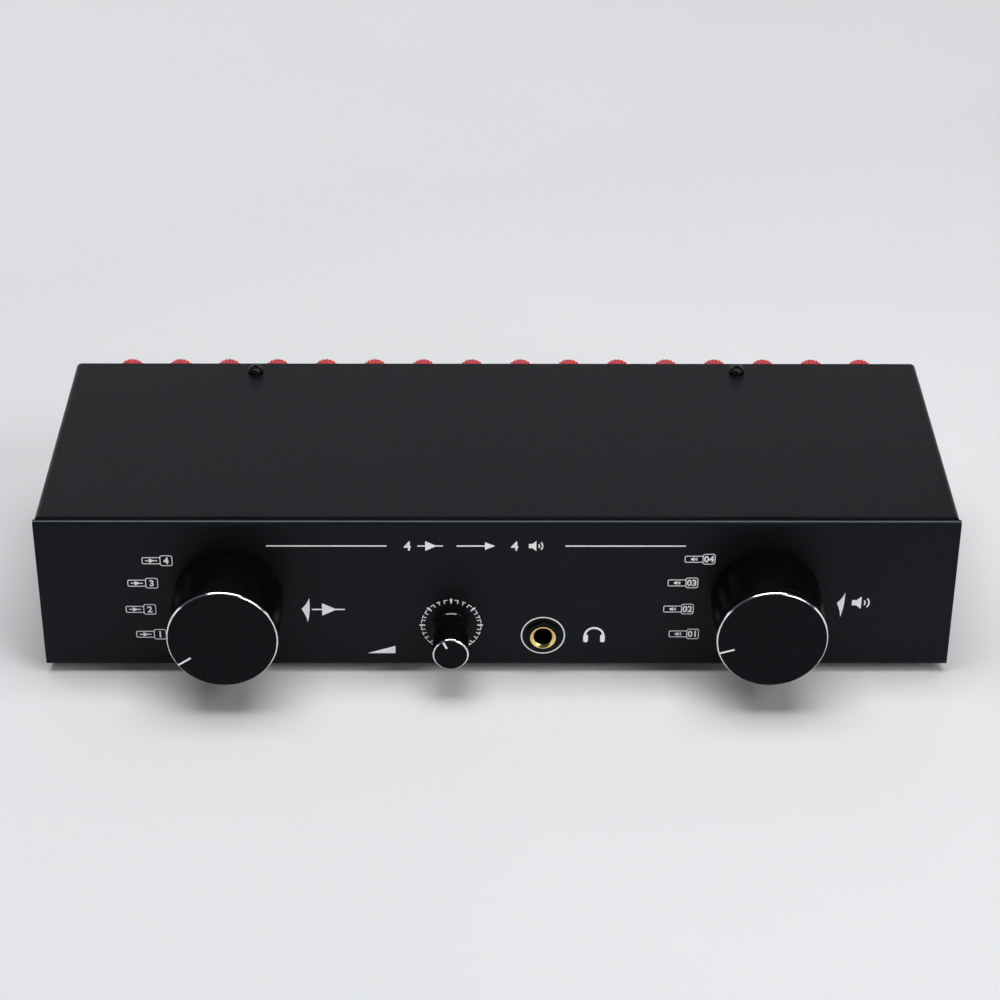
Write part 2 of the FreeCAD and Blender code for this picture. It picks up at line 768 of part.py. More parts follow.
def control_nuts():
    """Nuts that hold the two switches and the potentiometer to the front wall."""
    nuts = [hexagon_nut(f"{which}_nut", "switch", x=f"{side} * selector_axis", z="selector_z")
            for which, side in SELECTORS.items()]
    nuts.append(hexagon_nut("volume_nut", "volume", x="volume_axis", z="volume_z"))
    return node(group("nuts", nuts), "control_nuts")


def headphone_jack():
    """Quarter inch jack: plated bush with a conical mouth, its nut, and the moulded body behind."""
    place = {"x": "jack_axis", "z": "jack_z"}
    node(turned_piece("jack_bush_body", [
        ("jack_mouth_radius", "jack_rim"),
        ("jack_bush_radius", "jack_rim"),
        ("jack_bush_radius", "front_inside"),
        ("jack_bore_radius", "front_inside"),
        ("jack_bore_radius", "jack_rim + jack_mouth_depth"),
    ], **place), "jack_bush")
    node(hexagon_nut("jack_nut_body", "jack", **place), "jack_nut")
    body = new_body("jack_case", **place)
    case = Profile(body, "jack_case_outline", "XZ_Plane", "-jack_rear")
    case.rectangle("-jack_body_width / 2", "-jack_body_height / 2", "jack_body_width / 2",
                   "jack_body_height / 2")
    pad(body, "jack_case_block", case, "jack_body_depth")
    bore = Profile(body, "jack_case_bore_outline", "XZ_Plane", "-front_inside")
    bore.circle("jack_bore_radius")
    pocket(body, "jack_case_bore", bore, "jack_bore_depth")
    node(body, "jack_body")


# ---------------------------------------------------------------------------------------------------
# Binding posts, terminal board and wiring
# ---------------------------------------------------------------------------------------------------


def post_studs():
    """Studs with a square shank in the collar and a hexagon head inside the case.

    Eight flats stand for the turns of the thread, which are too fine to draw.
    """
    rows = []
    for colour, height in ROWS.items():
        body = new_body(f"{colour}_stud_row", several=True, x="post_first", z=height)
        head = Profile(body, f"{colour}_stud_head_outline", "XZ_Plane", "-neck_front")
        head.regular("hexagon_side_count", "stud_head_radius")
        shank = Profile(body, f"{colour}_stud_shank_outline", "XZ_Plane", "-collar_face")
        shank.rectangle("-stud_shank_width / 2", "-stud_shank_width / 2", "stud_shank_width / 2",
                        "stud_shank_width / 2")
        thread = Profile(body, f"{colour}_stud_thread_outline", "XZ_Plane", "-collar_face")
        thread.regular("octagon_side_count", "stud_radius")
        features = [
            pad(body, f"{colour}_stud_head", head, "stud_head_thickness"),
            pad(body, f"{colour}_stud_shank", shank, "collar_face - neck_front"),
            pad(body, f"{colour}_stud_thread", thread, "stud_length", Reversed=True),
        ]
        repeat_along_row(body, f"{colour}_stud_pattern", features)
        rows.append(body)
    return node(group("studs", rows), "post_studs")


def post_collars(colour, height):
    """Insulating collars with eight flats, keyed into the rear wall by a square neck."""
    body = new_body(f"{colour}_collar_row", several=True, x="post_first", z=height)
    reach = "(stud_shank_width / 2 + collar_bore_clearance)"
    flange = Profile(body, f"{colour}_collar_flange_outline", "XZ_Plane", "-collar_face")
    flange.regular("octagon_side_count", "collar_radius").rectangle(f"-{reach}", f"-{reach}", reach, reach)
    neck = Profile(body, f"{colour}_collar_neck_outline", "XZ_Plane", "-rear_face")
    neck.rectangle("-collar_neck_width / 2", "-collar_neck_width / 2", "collar_neck_width / 2",
                   "collar_neck_width / 2").rectangle(f"-{reach}", f"-{reach}", reach, reach)
    features = [
        pad(body, f"{colour}_collar_flange", flange, "collar_thickness"),
        pad(body, f"{colour}_collar_neck", neck, "rear_face - neck_front"),
    ]
    repeat_along_row(body, f"{colour}_collar_pattern", features)
    return node(body, f"{colour}_post_collars")


def post_cap(colour, height, index):
    """One screw cap with eight flats, a bevelled end and a blind hexagonal socket round the stud."""
    body = document.addObject("PartDesign::Body", f"{colour}_cap_body_{index:02d}")
    own_turn = FreeCAD.Rotation(FreeCAD.Vector(0, 0, 1), index * size("cap_turn_step"))
    body.Placement = FreeCAD.Placement(FreeCAD.Vector(), Z_TO_REAR.multiply(own_turn))
    bind(body, x=f"post_first + {index - 1} * post_pitch", y="cap_start", z=height)
    grip = body.newObject("PartDesign::AdditivePrism", f"{colour}_cap_grip_{index:02d}")
    bind(grip, Polygon="octagon_side_count", Circumradius="cap_radius", Height="cap_length")
    body.Tip = grip
    document.recompute([grip])
    bevel = body.newObject("PartDesign::Chamfer", f"{colour}_cap_bevel_{index:02d}")
    faces = grip.Shape.Faces
    end = max(range(len(faces)), key=lambda face: faces[face].CenterOfMass.z)
    bevel.Base = (grip, [f"Face{end + 1}"])
    bind(bevel, Size="cap_bevel")
    body.Tip = bevel
    socket = body.newObject("PartDesign::SubtractivePrism", f"{colour}_cap_socket_{index:02d}")
    bind(socket, Polygon="hexagon_side_count",
         Circumradius="(stud_radius + cap_socket_clearance) / cos(30)", Height="cap_socket_depth")
    body.Tip = socket
    return node(body, f"{colour}_cap_{index:02d}")


def terminal_board():
    """Circuit board behind the rear wall, soldered to the heads of the studs."""
    body = new_body("board")
    outline = Profile(body, "board_outline", "XZ_Plane", "-board_rear")
    outline.rectangle("-board_half_width", "post_lower_z - board_margin", "board_half_width",
                      "post_upper_z + board_margin")
    pad(body, "board_sheet", outline, "board_thickness")
    return node(body, "terminal_board")


def main_ribbon(which, side):
    """Flat cable from a switch's rear wafer to the board, with an S-bend up to the board."""
    body = new_body(f"{which}_ribbon", x=f"{side} * selector_axis")
    low, high = "ribbon_low_z", "post_upper_z"
    along = [("wafer_stack_rear", low), ("ribbon_bend_start", low), ("ribbon_bend_end", high),
             ("board_front", high)]
    corners = [(y, f"{z} - ribbon_thickness / 2") for y, z in along]
    corners += [(y, f"{z} + ribbon_thickness / 2") for y, z in reversed(along)]
    outline = Profile(body, f"{which}_ribbon_outline", "YZ_Plane").polygon(corners)
    pad(body, f"{which}_ribbon_sheet", outline, "ribbon_width", SideType="Symmetric")
    round_corners(body, f"{which}_ribbon_bends", "ribbon_bend_radius", lambda edge: (
        edge_along(edge, "x") and number("wafer_stack_rear + ribbon_straight / 2")
        < edge.CenterOfMass.y < number("board_front - ribbon_straight / 2")))
    return body


def link_ribbon():
    """Flat cable on edge that joins the rear wafers of the two switches."""
    body = new_body("link_ribbon_body")
    near, far = "link_y - ribbon_thickness / 2", "link_y + ribbon_thickness / 2"
    inner, outer = "(selector_axis - ribbon_thickness / 2)", "(selector_axis + ribbon_thickness / 2)"
    outline = Profile(body, "link_ribbon_outline", "XY_Plane", "link_z - link_ribbon_width / 2")
    outline.polygon([
        (f"-{outer}", "wafer_stack_rear"),
        (f"-{inner}", "wafer_stack_rear"),
        (f"-{inner}", near),
        (inner, near),
        (inner, "wafer_stack_rear"),
        (outer, "wafer_stack_rear"),
        (outer, far),
        (f"-{outer}", far),
    ])
    pad(body, "link_ribbon_sheet", outline, "link_ribbon_width")
    round_corners(body, "link_outer_bends", "link_bend_radius + ribbon_thickness", lambda edge: (
        edge_along(edge, "z") and edge_at(edge, y=far)))
    round_corners(body, "link_inner_bends", "link_bend_radius", lambda edge: (
        edge_along(edge, "z") and edge_at(edge, y=near)))
    return body


def lead(name, x, rear_of):
    """Short flat lead from the rear of a headphone component to the link between the switches."""
    body = new_body(name, x=x)
    outline = Profile(body, name + "_outline", "YZ_Plane")
    outline.rectangle(rear_of, "link_z - ribbon_thickness / 2", "link_y - ribbon_thickness / 2",
                      "link_z + ribbon_thickness / 2")
    pad(body, name + "_sheet", outline, "lead_width", SideType="Symmetric")
    return body


def wiring_ribbons():
    """All flat cables inside the case."""
    ribbons = [main_ribbon(which, side) for which, side in SELECTORS.items()]
    ribbons.append(link_ribbon())
    ribbons.append(lead("volume_lead", "volume_axis", "pot_rear"))
    ribbons.append(lead("jack_lead", "jack_axis", "jack_rear"))
    return node(group("ribbons", ribbons), "wiring_ribbons")


# ---------------------------------------------------------------------------------------------------
# The whole switch
# ---------------------------------------------------------------------------------------------------


def build():
    """Make every sub-part in the document."""
    chassis_tray()
    top_cover()
    cover_screws()
    rubber_feet()
    for which, side in SELECTORS.items():
        selector_knob(which, side)
        grub_screw(which, side)
        switch_shaft(which, side)
        switch_rotor(which, side)
        switch_housing(which, side)
    switch_wafers()
    volume_control()
    control_nuts()
    headphone_jack()
    post_studs()
    for colour, height in ROWS.items():
        post_collars(colour, height)
        for index in range(1, int(size("post_count")) + 1):
            post_cap(colour, height, index)
    terminal_board()
    wiring_ribbons()
    document.recompute()


def check_and_export():
    """Stop on any failed feature or bad shape, then write one STEP file for each node."""
    failed = [item.Name for item in document.Objects if {"Invalid", "Error"} & set(item.State)]
    if failed:
        raise RuntimeError("features that failed: " + ", ".join(failed))
    for name, feature in nodes.items():
        if feature.Shape.isNull() or not feature.Shape.isValid() or not feature.Shape.Solids:
            raise RuntimeError("bad shape: " + name)
    os.makedirs("parts", exist_ok=True)
    for name, feature in nodes.items():
        feature.Shape.exportStep(f"parts/{name}.step")
    print(len(nodes), "nodes,", sum(len(feature.Shape.Solids) for feature in nodes.values()), "solids")


build()
check_and_export()
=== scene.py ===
"""Looks of a speaker selector switch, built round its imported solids.

A low black steel case stands on rubber feet. Two large turned knobs select the amplifier and the
loudspeakers, a small one sets the headphone volume, and a gold lined jack takes the headphones. Two
rows of ribbed screw caps close the binding posts at the rear.

Sizes are in millimetres in the frame's own axes: X to the right of someone facing the panel, Y to
the rear and Z up. Meshes are scaled to metres when a piece is finished.
"""
import json
import logging
import math
from collections.abc import Callable, Sequence
from dataclasses import dataclass, field, replace
from enum import Enum
from typing import ClassVar

import bmesh
import bpy
from mathutils import Euler, Matrix, Vector

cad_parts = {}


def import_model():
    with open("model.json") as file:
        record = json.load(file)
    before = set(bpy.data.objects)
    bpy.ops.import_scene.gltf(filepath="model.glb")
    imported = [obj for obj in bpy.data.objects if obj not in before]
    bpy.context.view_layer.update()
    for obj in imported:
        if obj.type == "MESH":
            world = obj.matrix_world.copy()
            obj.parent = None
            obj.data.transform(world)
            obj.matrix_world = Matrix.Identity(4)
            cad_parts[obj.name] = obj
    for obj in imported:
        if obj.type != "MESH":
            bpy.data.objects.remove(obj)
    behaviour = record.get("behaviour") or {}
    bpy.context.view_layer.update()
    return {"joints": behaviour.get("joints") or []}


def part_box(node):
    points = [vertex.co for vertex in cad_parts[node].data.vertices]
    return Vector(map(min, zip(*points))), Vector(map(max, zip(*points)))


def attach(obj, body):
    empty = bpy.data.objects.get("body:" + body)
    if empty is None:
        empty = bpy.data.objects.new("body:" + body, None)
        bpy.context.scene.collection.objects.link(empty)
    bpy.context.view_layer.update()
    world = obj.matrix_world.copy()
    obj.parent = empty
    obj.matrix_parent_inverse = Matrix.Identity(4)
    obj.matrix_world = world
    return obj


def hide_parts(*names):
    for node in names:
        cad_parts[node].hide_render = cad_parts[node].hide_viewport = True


LOG = logging.getLogger("speaker_selector")

MM = 0.001
FULL_TURN = 2 * math.pi
CASE_BODY = "case"
Triple = tuple[float, float, float]
Colour = Triple
Point = tuple[float, float]
Socket = bpy.types.NodeSocket


class PostRow(Enum):
    """Rows of binding posts, by the colour of their plastic."""

    RED = "red"
    BLACK = "black"


class Side(Enum):
    """Left and right, as the sign of X."""

    LEFT = -1
    RIGHT = 1


@dataclass(frozen=True)
class Extent:
    """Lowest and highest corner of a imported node, in millimetres."""

    low: Vector
    high: Vector

    @classmethod
    def of(cls, node: str) -> "Extent":
        """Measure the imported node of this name."""
        low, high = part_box(node)
        return cls(low / MM, high / MM)

    @property
    def centre(self) -> Vector:
        """Middle of the extent."""
        return (self.low + self.high) / 2

    @property
    def axis(self) -> Point:
        """Place (x, z) of the line along Y through the middle."""
        return self.centre.x, self.centre.z

    def half(self, direction: int) -> float:
        """Half of the size along X, Y or Z, which are 0, 1 and 2."""
        return (self.high[direction] - self.low[direction]) / 2


def stand(name: str, data: bpy.types.ID) -> bpy.types.Object:
    """Make an object in the scene.

    Args:
        name: Name of the object.
        data: Its mesh, text, lamp or camera.

    Returns:
        The object.
    """
    made = bpy.data.objects.new(name, data)
    bpy.context.scene.collection.objects.link(made)
    return made


def flatten(source: bpy.types.Object) -> bpy.types.Mesh:
    """Turn an object with its modifiers into a plain mesh.

    Args:
        source: The object, which is removed.

    Returns:
        The mesh.
    """
    evaluated = source.evaluated_get(bpy.context.evaluated_depsgraph_get())
    mesh = bpy.data.meshes.new_from_object(evaluated)
    bpy.data.objects.remove(source)
    return mesh


def circle(steps: int) -> list[float]:
    """Angles of equal steps round a circle, in radians."""
    return [FULL_TURN * index / steps for index in range(steps)]


# ---- Node trees ----------------------------------------------------------------------------------


class NodeTree:
    """A node tree under construction."""

    def __init__(self, tree: bpy.types.NodeTree) -> None:
        """Work on a tree."""
        self.tree = tree

    def add(self, kind: str, inputs: dict | None = None, **settings: object) -> bpy.types.Node:
        """Add a node.

        Args:
            kind: The node's type.
            inputs: Constants or other nodes' outputs for its inputs, by name or number.
            settings: Its properties.

        Returns:
            The new node.
        """
        node = self.tree.nodes.new(kind)
        for name, value in settings.items():
            setattr(node, name, value)
        for name, value in (inputs or {}).items():
            self.feed(node.inputs[name], value)
        return node

    def feed(self, target: Socket, value: object) -> None:
        """Give an input its value.

        Args:
            target: The input.
            value: A constant, or another node's output.
        """
        if isinstance(value, Socket):
            self.tree.links.new(value, target)
        else:
            target.default_value = value


class Layout(Enum):
    """How a pattern lies on a surface: the settings of its wave texture, which noise lacks."""

    NOISE = None
    TURNING_MARKS = {"wave_type": "RINGS", "rings_direction": "Y"}
    STRIPES = {"wave_type": "BANDS", "bands_direction": "X"}


@dataclass(frozen=True)
class Texture:
    """A pattern over a surface.

    Its size in millimetres is that of a grain of noise, or goes from a crest to the next trough of
    waves. Its detail is the number of the noise's octaves, or how irregular the waves are.
    """

    size: float
    detail: float = 2
    stretch: Triple = (1, 1, 1)
    layout: Layout = Layout.NOISE


@dataclass(frozen=True)
class Skin:
    """A texture that raises a surface, with its height in millimetres and the share that shows."""

    texture: Texture
    height: float
    strength: float


class Shader(NodeTree):
    """A Principled material under construction, patterned over Object coordinates."""

    # A wave texture of scale 1 goes from crest to trough in pi / 20 of a metre.
    wave_scale: ClassVar[float] = math.pi / 20
    wave_detail: ClassVar[float] = 3

    def __init__(self, name: str, **constants: float | tuple) -> None:
        """Start a material.

        Args:
            name: Name of the material.
            constants: Values of the Principled shader's sockets, with spaces as underscores.
        """
        self.material = bpy.data.materials.new(name)
        self.material.use_nodes = True
        super().__init__(self.material.node_tree)
        self.inputs = self.tree.nodes["Principled BSDF"].inputs
        for socket, value in constants.items():
            self.inputs[socket.replace("_", " ")].default_value = value
        self.coordinates = self.add("ShaderNodeTexCoord").outputs["Object"]

    def centre_on(self, x: float, y: float, z: float) -> None:
        """Move the origin of the patterns that follow.

        Args:
            x: Its place along X in millimetres.
            y: Its place along Y.
            z: Its place along Z.
        """
        moved = self.add("ShaderNodeMapping", {
            "Location": Vector((-x, -y, -z)) * MM, "Vector": self.coordinates})
        self.coordinates = moved.outputs["Vector"]

    def pattern(self, texture: Texture) -> Socket:
        """Lay a texture over the surface.

        Args:
            texture: The texture.

        Returns:
            Its value, from 0 to 1.
        """
        if texture.layout is Layout.NOISE:
            stretched = self.add("ShaderNodeMapping", {
                "Scale": texture.stretch, "Vector": self.coordinates})
            made = self.add("ShaderNodeTexNoise", {
                "Scale": 1 / (texture.size * MM), "Detail": texture.detail,
                "Vector": stretched.outputs["Vector"]})
        else:
            made = self.add("ShaderNodeTexWave", {
                "Scale": self.wave_scale / (texture.size * MM), "Distortion": texture.detail,
                "Detail Scale": self.wave_detail, "Vector": self.coordinates,
            }, **texture.layout.value)
        return made.outputs["Fac"]

    def colour(self, texture: Texture, dark: Colour, light: Colour) -> None:
        """Colour the surface.

        Args:
            texture: What the colour follows.
            dark: Colour where the texture is 0.
            light: Colour where it is 1.
        """
        ramp = self.add("ShaderNodeValToRGB", {"Fac": self.pattern(texture)})
        for stop, tone in zip(ramp.color_ramp.elements, (dark, light)):
            stop.color = (*tone, 1)
        self.feed(self.inputs["Base Color"], ramp.outputs["Color"])

    def map_to(self, socket: str, value: Socket, **limits: float) -> None:
        """Stretch a value to another range and feed it to one of the Principled's sockets.

        Args:
            socket: Name of the socket.
            value: The value.
            limits: Limits of either range, such as To_Min; where left out they are 0 and 1.
        """
        names = {name.replace("_", " "): limit for name, limit in limits.items()}
        mapped = self.add("ShaderNodeMapRange", {"Value": value, **names})
        self.feed(self.inputs[socket], mapped.outputs["Result"])

    def bump(self, skin: Skin) -> None:
        """Raise the surface, on top of what raises it already.

        Args:
            skin: What raises it.
        """
        bump = self.add("ShaderNodeBump", {
            "Strength": skin.strength, "Distance": skin.height * MM,
            "Height": self.pattern(skin.texture)})
        normal = self.inputs["Normal"]
        if normal.is_linked:
            self.feed(bump.inputs["Normal"], normal.links[0].from_socket)
        self.feed(normal, bump.outputs["Normal"])


class Pattern(NodeTree):
    """A Geometry Nodes tree with named sizes that turns one mesh into another."""

    def __init__(self, name: str) -> None:
        """Start a tree with geometry in and out.

        Args:
            name: Name of the tree.
        """
        super().__init__(bpy.data.node_groups.new(name, "GeometryNodeTree"))
        self.identifiers: dict[str, str] = {}
        for way in ("INPUT", "OUTPUT"):
            self.tree.interface.new_socket("Geometry", in_out=way,
                                           socket_type="NodeSocketGeometry")
        self.entry = self.add("NodeGroupInput")
        self.exit = self.add("NodeGroupOutput")

    def size(self, name: str, kind: str = "Float") -> Socket:
        """Add an input.

        Args:
            name: Name of the input.
            kind: What it takes: Float, Int, Vector or Material.

        Returns:
            The socket that gives its value.
        """
        socket = self.tree.interface.new_socket(name, in_out="INPUT",
                                                socket_type=f"NodeSocket{kind}")
        self.identifiers[name] = socket.identifier
        return self.entry.outputs[name]

    def maths(self, operation: str, first: Socket, second: Socket | float = 0.0) -> Socket:
        """Add one step of arithmetic, such as MULTIPLY, and return its result."""
        return self.add("ShaderNodeMath", {0: first, 1: second},
                        operation=operation).outputs["Value"]

    def vector(self, **parts: Socket) -> Socket:
        """Combine values for X, Y and Z into a vector and return it."""
        return self.add("ShaderNodeCombineXYZ", parts).outputs["Vector"]

    def repeat_on(self, points: Socket, **inputs: Socket) -> None:
        """End the tree with a copy of the incoming mesh on each point.

        Args:
            points: The points.
            inputs: Further inputs of the node that places the copies.
        """
        copies = self.add("GeometryNodeInstanceOnPoints", {
            "Points": points, "Instance": self.entry.outputs["Geometry"], **inputs})
        self.close(copies.outputs["Instances"])

    def close(self, geometry: Socket) -> None:
        """End the tree with real faces of one material.

        Args:
            geometry: What the faces are made of.
        """
        real = self.add("GeometryNodeRealizeInstances", {"Geometry": geometry})
        painted = self.add("GeometryNodeSetMaterial", {
            "Geometry": real.outputs["Geometry"], "Material": self.size("Material", "Material")})
        self.feed(self.exit.inputs["Geometry"], painted.outputs["Geometry"])

    def bake(self, template: bpy.types.Object, **sizes: object) -> bpy.types.Mesh:
        """Run the tree on a template, which is removed.

        Args:
            template: Object that holds the mesh to repeat.
            sizes: Values of the named inputs.

        Returns:
            The plain mesh that comes out.
        """
        modifier = template.modifiers.new(self.tree.name, "NODES")
        modifier.node_group = self.tree
        for name, value in sizes.items():
            modifier[self.identifiers[name]] = value
        return flatten(template)


def ring_pattern() -> Pattern:
    """Repeat a mesh round the Y axis, clockwise as seen from the front.

    Returns:
        A tree with the sizes Count, Radius, Step and Material.
    """
    pattern = Pattern("copies_round_an_axis")
    points = pattern.add("GeometryNodePoints", {"Count": pattern.size("Count", "Int")})
    radius = pattern.size("Radius")
    index = pattern.add("GeometryNodeInputIndex").outputs["Index"]
    angle = pattern.maths("MULTIPLY", pattern.size("Step"), index)
    place = pattern.vector(X=pattern.maths("MULTIPLY", radius, pattern.maths("SINE", angle)),
                           Z=pattern.maths("MULTIPLY", radius, pattern.maths("COSINE", angle)))
    spread = pattern.add("GeometryNodeSetPosition", {
        "Geometry": points.outputs["Points"], "Position": place})
    pattern.repeat_on(spread.outputs["Geometry"], Rotation=pattern.vector(Y=angle))
    return pattern


def row_pattern() -> Pattern:
    """Repeat a mesh along a straight row.

    Returns:
        A tree with the sizes Count, First, Step and Material.
    """
    pattern = Pattern("copies_along_a_row")
    line = pattern.add("GeometryNodeMeshLine", {
        "Count": pattern.size("Count", "Int"), "Start Location": pattern.size("First", "Vector"),
        "Offset": pattern.size("Step", "Vector")}, mode="OFFSET")
    pattern.repeat_on(line.outputs["Mesh"])
    return pattern


def thread_pattern() -> Pattern:
    """Wind a ridge round the Y axis and add it to a core.

    Returns:
        A tree with the sizes Radius, Turns, Length, Ridge and Material.
    """
    pattern = Pattern("ridge_along_a_helix")
    radius = pattern.size("Radius")
    helix = pattern.add("GeometryNodeCurveSpiral", {
        "Resolution": 14, "Rotations": pattern.size("Turns"), "Start Radius": radius,
        "End Radius": radius, "Height": pattern.size("Length")})
    ridge = pattern.add("GeometryNodeCurvePrimitiveCircle", {
        "Resolution": 4, "Radius": pattern.size("Ridge")})
    sweep = pattern.add("GeometryNodeCurveToMesh", {
        "Curve": helix.outputs["Curve"], "Profile Curve": ridge.outputs["Curve"],
        "Fill Caps": True})
    laid = pattern.add("GeometryNodeTransform", {
        "Geometry": sweep.outputs["Mesh"], "Rotation": (-math.pi / 2, 0, 0)})
    both = pattern.add("GeometryNodeJoinGeometry", {"Geometry": laid.outputs["Geometry"]})
    pattern.feed(both.inputs["Geometry"], pattern.entry.outputs["Geometry"])
    pattern.close(both.outputs["Geometry"])
    return pattern


# ---- Finishes ------------------------------------------------------------------------------------


@dataclass(frozen=True)
class Finish:
    """A finish that a piece or some of its faces can take.

    Its colour drifts from dark to light by the tone, where the two differ, and its roughness from
    smooth to dull by the gloss; the skins raise it, and the patterns are centred on an axis (x, z).
    """

    name: str
    dark: Colour
    light: Colour
    smooth: float
    dull: float
    tone: Texture
    gloss: Texture
    skins: Sequence[Skin]
    metallic: float = 0.0
    shine: float = 0.5
    sheen: Colour = (1, 1, 1)
    axis: Point | None = None
    made: ClassVar[dict[str, bpy.types.Material]] = {}

    @property
    def material(self) -> bpy.types.Material:
        """The finish's material.

        Returns:
            The material, which is made when it is first asked for.
        """
        if self.name not in self.made:
            self.made[self.name] = self._mix()
        return self.made[self.name]

    def _mix(self) -> bpy.types.Material:
        """Build the material.

        Returns:
            The material.
        """
        shader = Shader(self.name, Base_Color=(*self.dark, 1), Metallic=self.metallic,
                        Specular_IOR_Level=self.shine, Specular_Tint=(*self.sheen, 1))
        if self.axis:
            shader.centre_on(self.axis[0], 0, self.axis[1])
        if self.light != self.dark:
            shader.colour(self.tone, self.dark, self.light)
        shader.map_to("Roughness", shader.pattern(self.gloss), To_Min=self.smooth,
                      To_Max=self.dull)
        for skin in self.skins:
            shader.bump(skin)
        return shader.material


def laminate(name: str, dark: Colour, light: Colour, spacing: float) -> Finish:
    """Sheet with fibres or conductors that follow each other along X.

    Args:
        name: Name of the finish.
        dark: Colour between them.
        light: Their colour.
        spacing: Their size in millimetres.

    Returns:
        The finish.
    """
    stripes = Texture(spacing, 0, layout=Layout.STRIPES)
    return Finish(name, dark, light, 0.4, 0.55, stripes, Texture(2), [Skin(stripes, 0.05, 0.5)],
                  shine=0.4)


COOL_SHEEN = (0.80, 0.92, 1.0)
ORANGE_PEEL = Skin(Texture(1.6), 0.02, 0.35)
CASE_COAT = Finish(
    "case_powder_coat", (0.0027, 0.0031, 0.0040), (0.0038, 0.0042, 0.0052), 0.36, 0.44,
    Texture(45), Texture(6, 3), [Skin(Texture(0.32, 1), 0.035, 0.55), ORANGE_PEEL], shine=0.15,
    sheen=COOL_SHEEN)
# Front fold coat: lighter colour paints a highlight on the bend; also smoother and shinier.
FOLD_HIGHLIGHT_COAT = replace(
    CASE_COAT, name="case_powder_coat_on_folds", dark=(0.010, 0.011, 0.012),
    light=(0.016, 0.017, 0.018), smooth=0.17, dull=0.24, shine=0.33,
    skins=[Skin(Texture(0.4, 1), 0.05, 0.55), ORANGE_PEEL])
ANODISED = Finish(
    "anodised", (0.0022, 0.0025, 0.0032), (0.00297, 0.003375, 0.00432), 0.32, 0.42, Texture(14),
    Texture(3, 3), [Skin(Texture(0.34, 0.5, layout=Layout.TURNING_MARKS), 0.004, 0.35)],
    shine=0.08, sheen=COOL_SHEEN)
# Knob walls: darker copy of the anodised finish; the darker colour is painted shade. Also a bit
# smoother.
ANODISED_SHADED_WALL = replace(
    ANODISED, name="anodised_wall", dark=(0.0014, 0.0016, 0.0020),
    light=(0.00189, 0.00216, 0.0027), smooth=0.26, dull=0.36)
CUT_ALUMINIUM = Finish(
    "cut_aluminium", (0.92, 0.92, 0.93), (0.92, 0.92, 0.93), 0.10, 0.16, Texture(1), Texture(0.6),
    [Skin(Texture(0.08, 0.2, layout=Layout.TURNING_MARKS), 0.0006, 0.1)], metallic=1.0)
WHITE_INK = Finish(
    "white_panel_ink", (0.86, 0.87, 0.88), (0.95, 0.95, 0.96), 0.5, 0.65, Texture(0.7, 3),
    Texture(0.5), [Skin(Texture(0.25), 0.004, 0.5)], shine=0.3)
ZINC = Finish(
    "zinc_plating", (0.55, 0.55, 0.53), (0.66, 0.66, 0.64), 0.24, 0.36, Texture(2.4, 3),
    Texture(0.9, 3), [Skin(Texture(0.35, 2, (1, 6, 1)), 0.003, 0.4)], metallic=1.0)
DULL_ZINC = replace(ZINC, name="dull_zinc_plating", dark=(0.06, 0.06, 0.06),
                    light=(0.10, 0.10, 0.10), smooth=0.40, dull=0.52)
STEEL = replace(ZINC, name="turned_steel", dark=(0.46, 0.46, 0.47), light=(0.56, 0.56, 0.57),
                smooth=0.22, dull=0.34)
BLACK_OXIDE = replace(ZINC, name="black_oxide", dark=(0.015, 0.016, 0.018),
                      light=(0.026, 0.027, 0.030), smooth=0.26, dull=0.38)
GOLD = replace(ZINC, name="gold_plating", dark=(0.92, 0.68, 0.22), light=(0.98, 0.78, 0.32),
               smooth=0.14, dull=0.20, skins=[Skin(Texture(0.35), 0.003, 0.02)])
LIP_METAL = replace(ZINC, name="polished_lip", dark=(0.10, 0.10, 0.105),
                    light=(0.12, 0.12, 0.125), smooth=0.10, dull=0.14, skins=[])
BLACK_PLASTIC = Finish(
    "black_plastic", (0.010, 0.010, 0.011), (0.016, 0.016, 0.017), 0.34, 0.46, Texture(4.5, 3),
    Texture(1.3, 3), [Skin(Texture(0.28), 0.006, 0.6)], shine=0.45)
RED_PLASTIC = replace(BLACK_PLASTIC, name="red_plastic", dark=(0.50, 0.012, 0.016),
                      light=(0.62, 0.020, 0.026), smooth=0.28, dull=0.40, shine=0.3)
JACK_LINING = replace(BLACK_PLASTIC, name="jack_black", dark=(0.002, 0.002, 0.002),
                      light=(0.004, 0.004, 0.004), smooth=0.4, dull=0.6, shine=0.12)
RUBBER = replace(BLACK_PLASTIC, name="foot_rubber", dark=(0.012, 0.012, 0.012),
                 light=(0.020, 0.020, 0.020), smooth=0.7, dull=0.85, shine=0.3,
                 skins=[Skin(Texture(0.28), 0.02, 0.6)])
PLASTICS = {PostRow.RED: RED_PLASTIC, PostRow.BLACK: BLACK_PLASTIC}
PHENOLIC = laminate("paper_phenolic", (0.13, 0.06, 0.025), (0.21, 0.10, 0.04), 0.8)
BOARD = laminate("circuit_board", (0.012, 0.075, 0.035), (0.02, 0.11, 0.05), 2.5)
RIBBON = laminate("ribbon_cable", (0.20, 0.20, 0.21), (0.30, 0.30, 0.31), 1.27)


# ---- Meshes --------------------------------------------------------------------------------------

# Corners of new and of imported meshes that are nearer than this, in millimetres, are one corner.
WELD = 0.0005
PACKED_WELD = 0.001
# Edges that turn by less than these many degrees are flat, or are shaded smooth and left unrounded.
FLAT_BELOW = 0.5
SHARP_FROM = 32.0


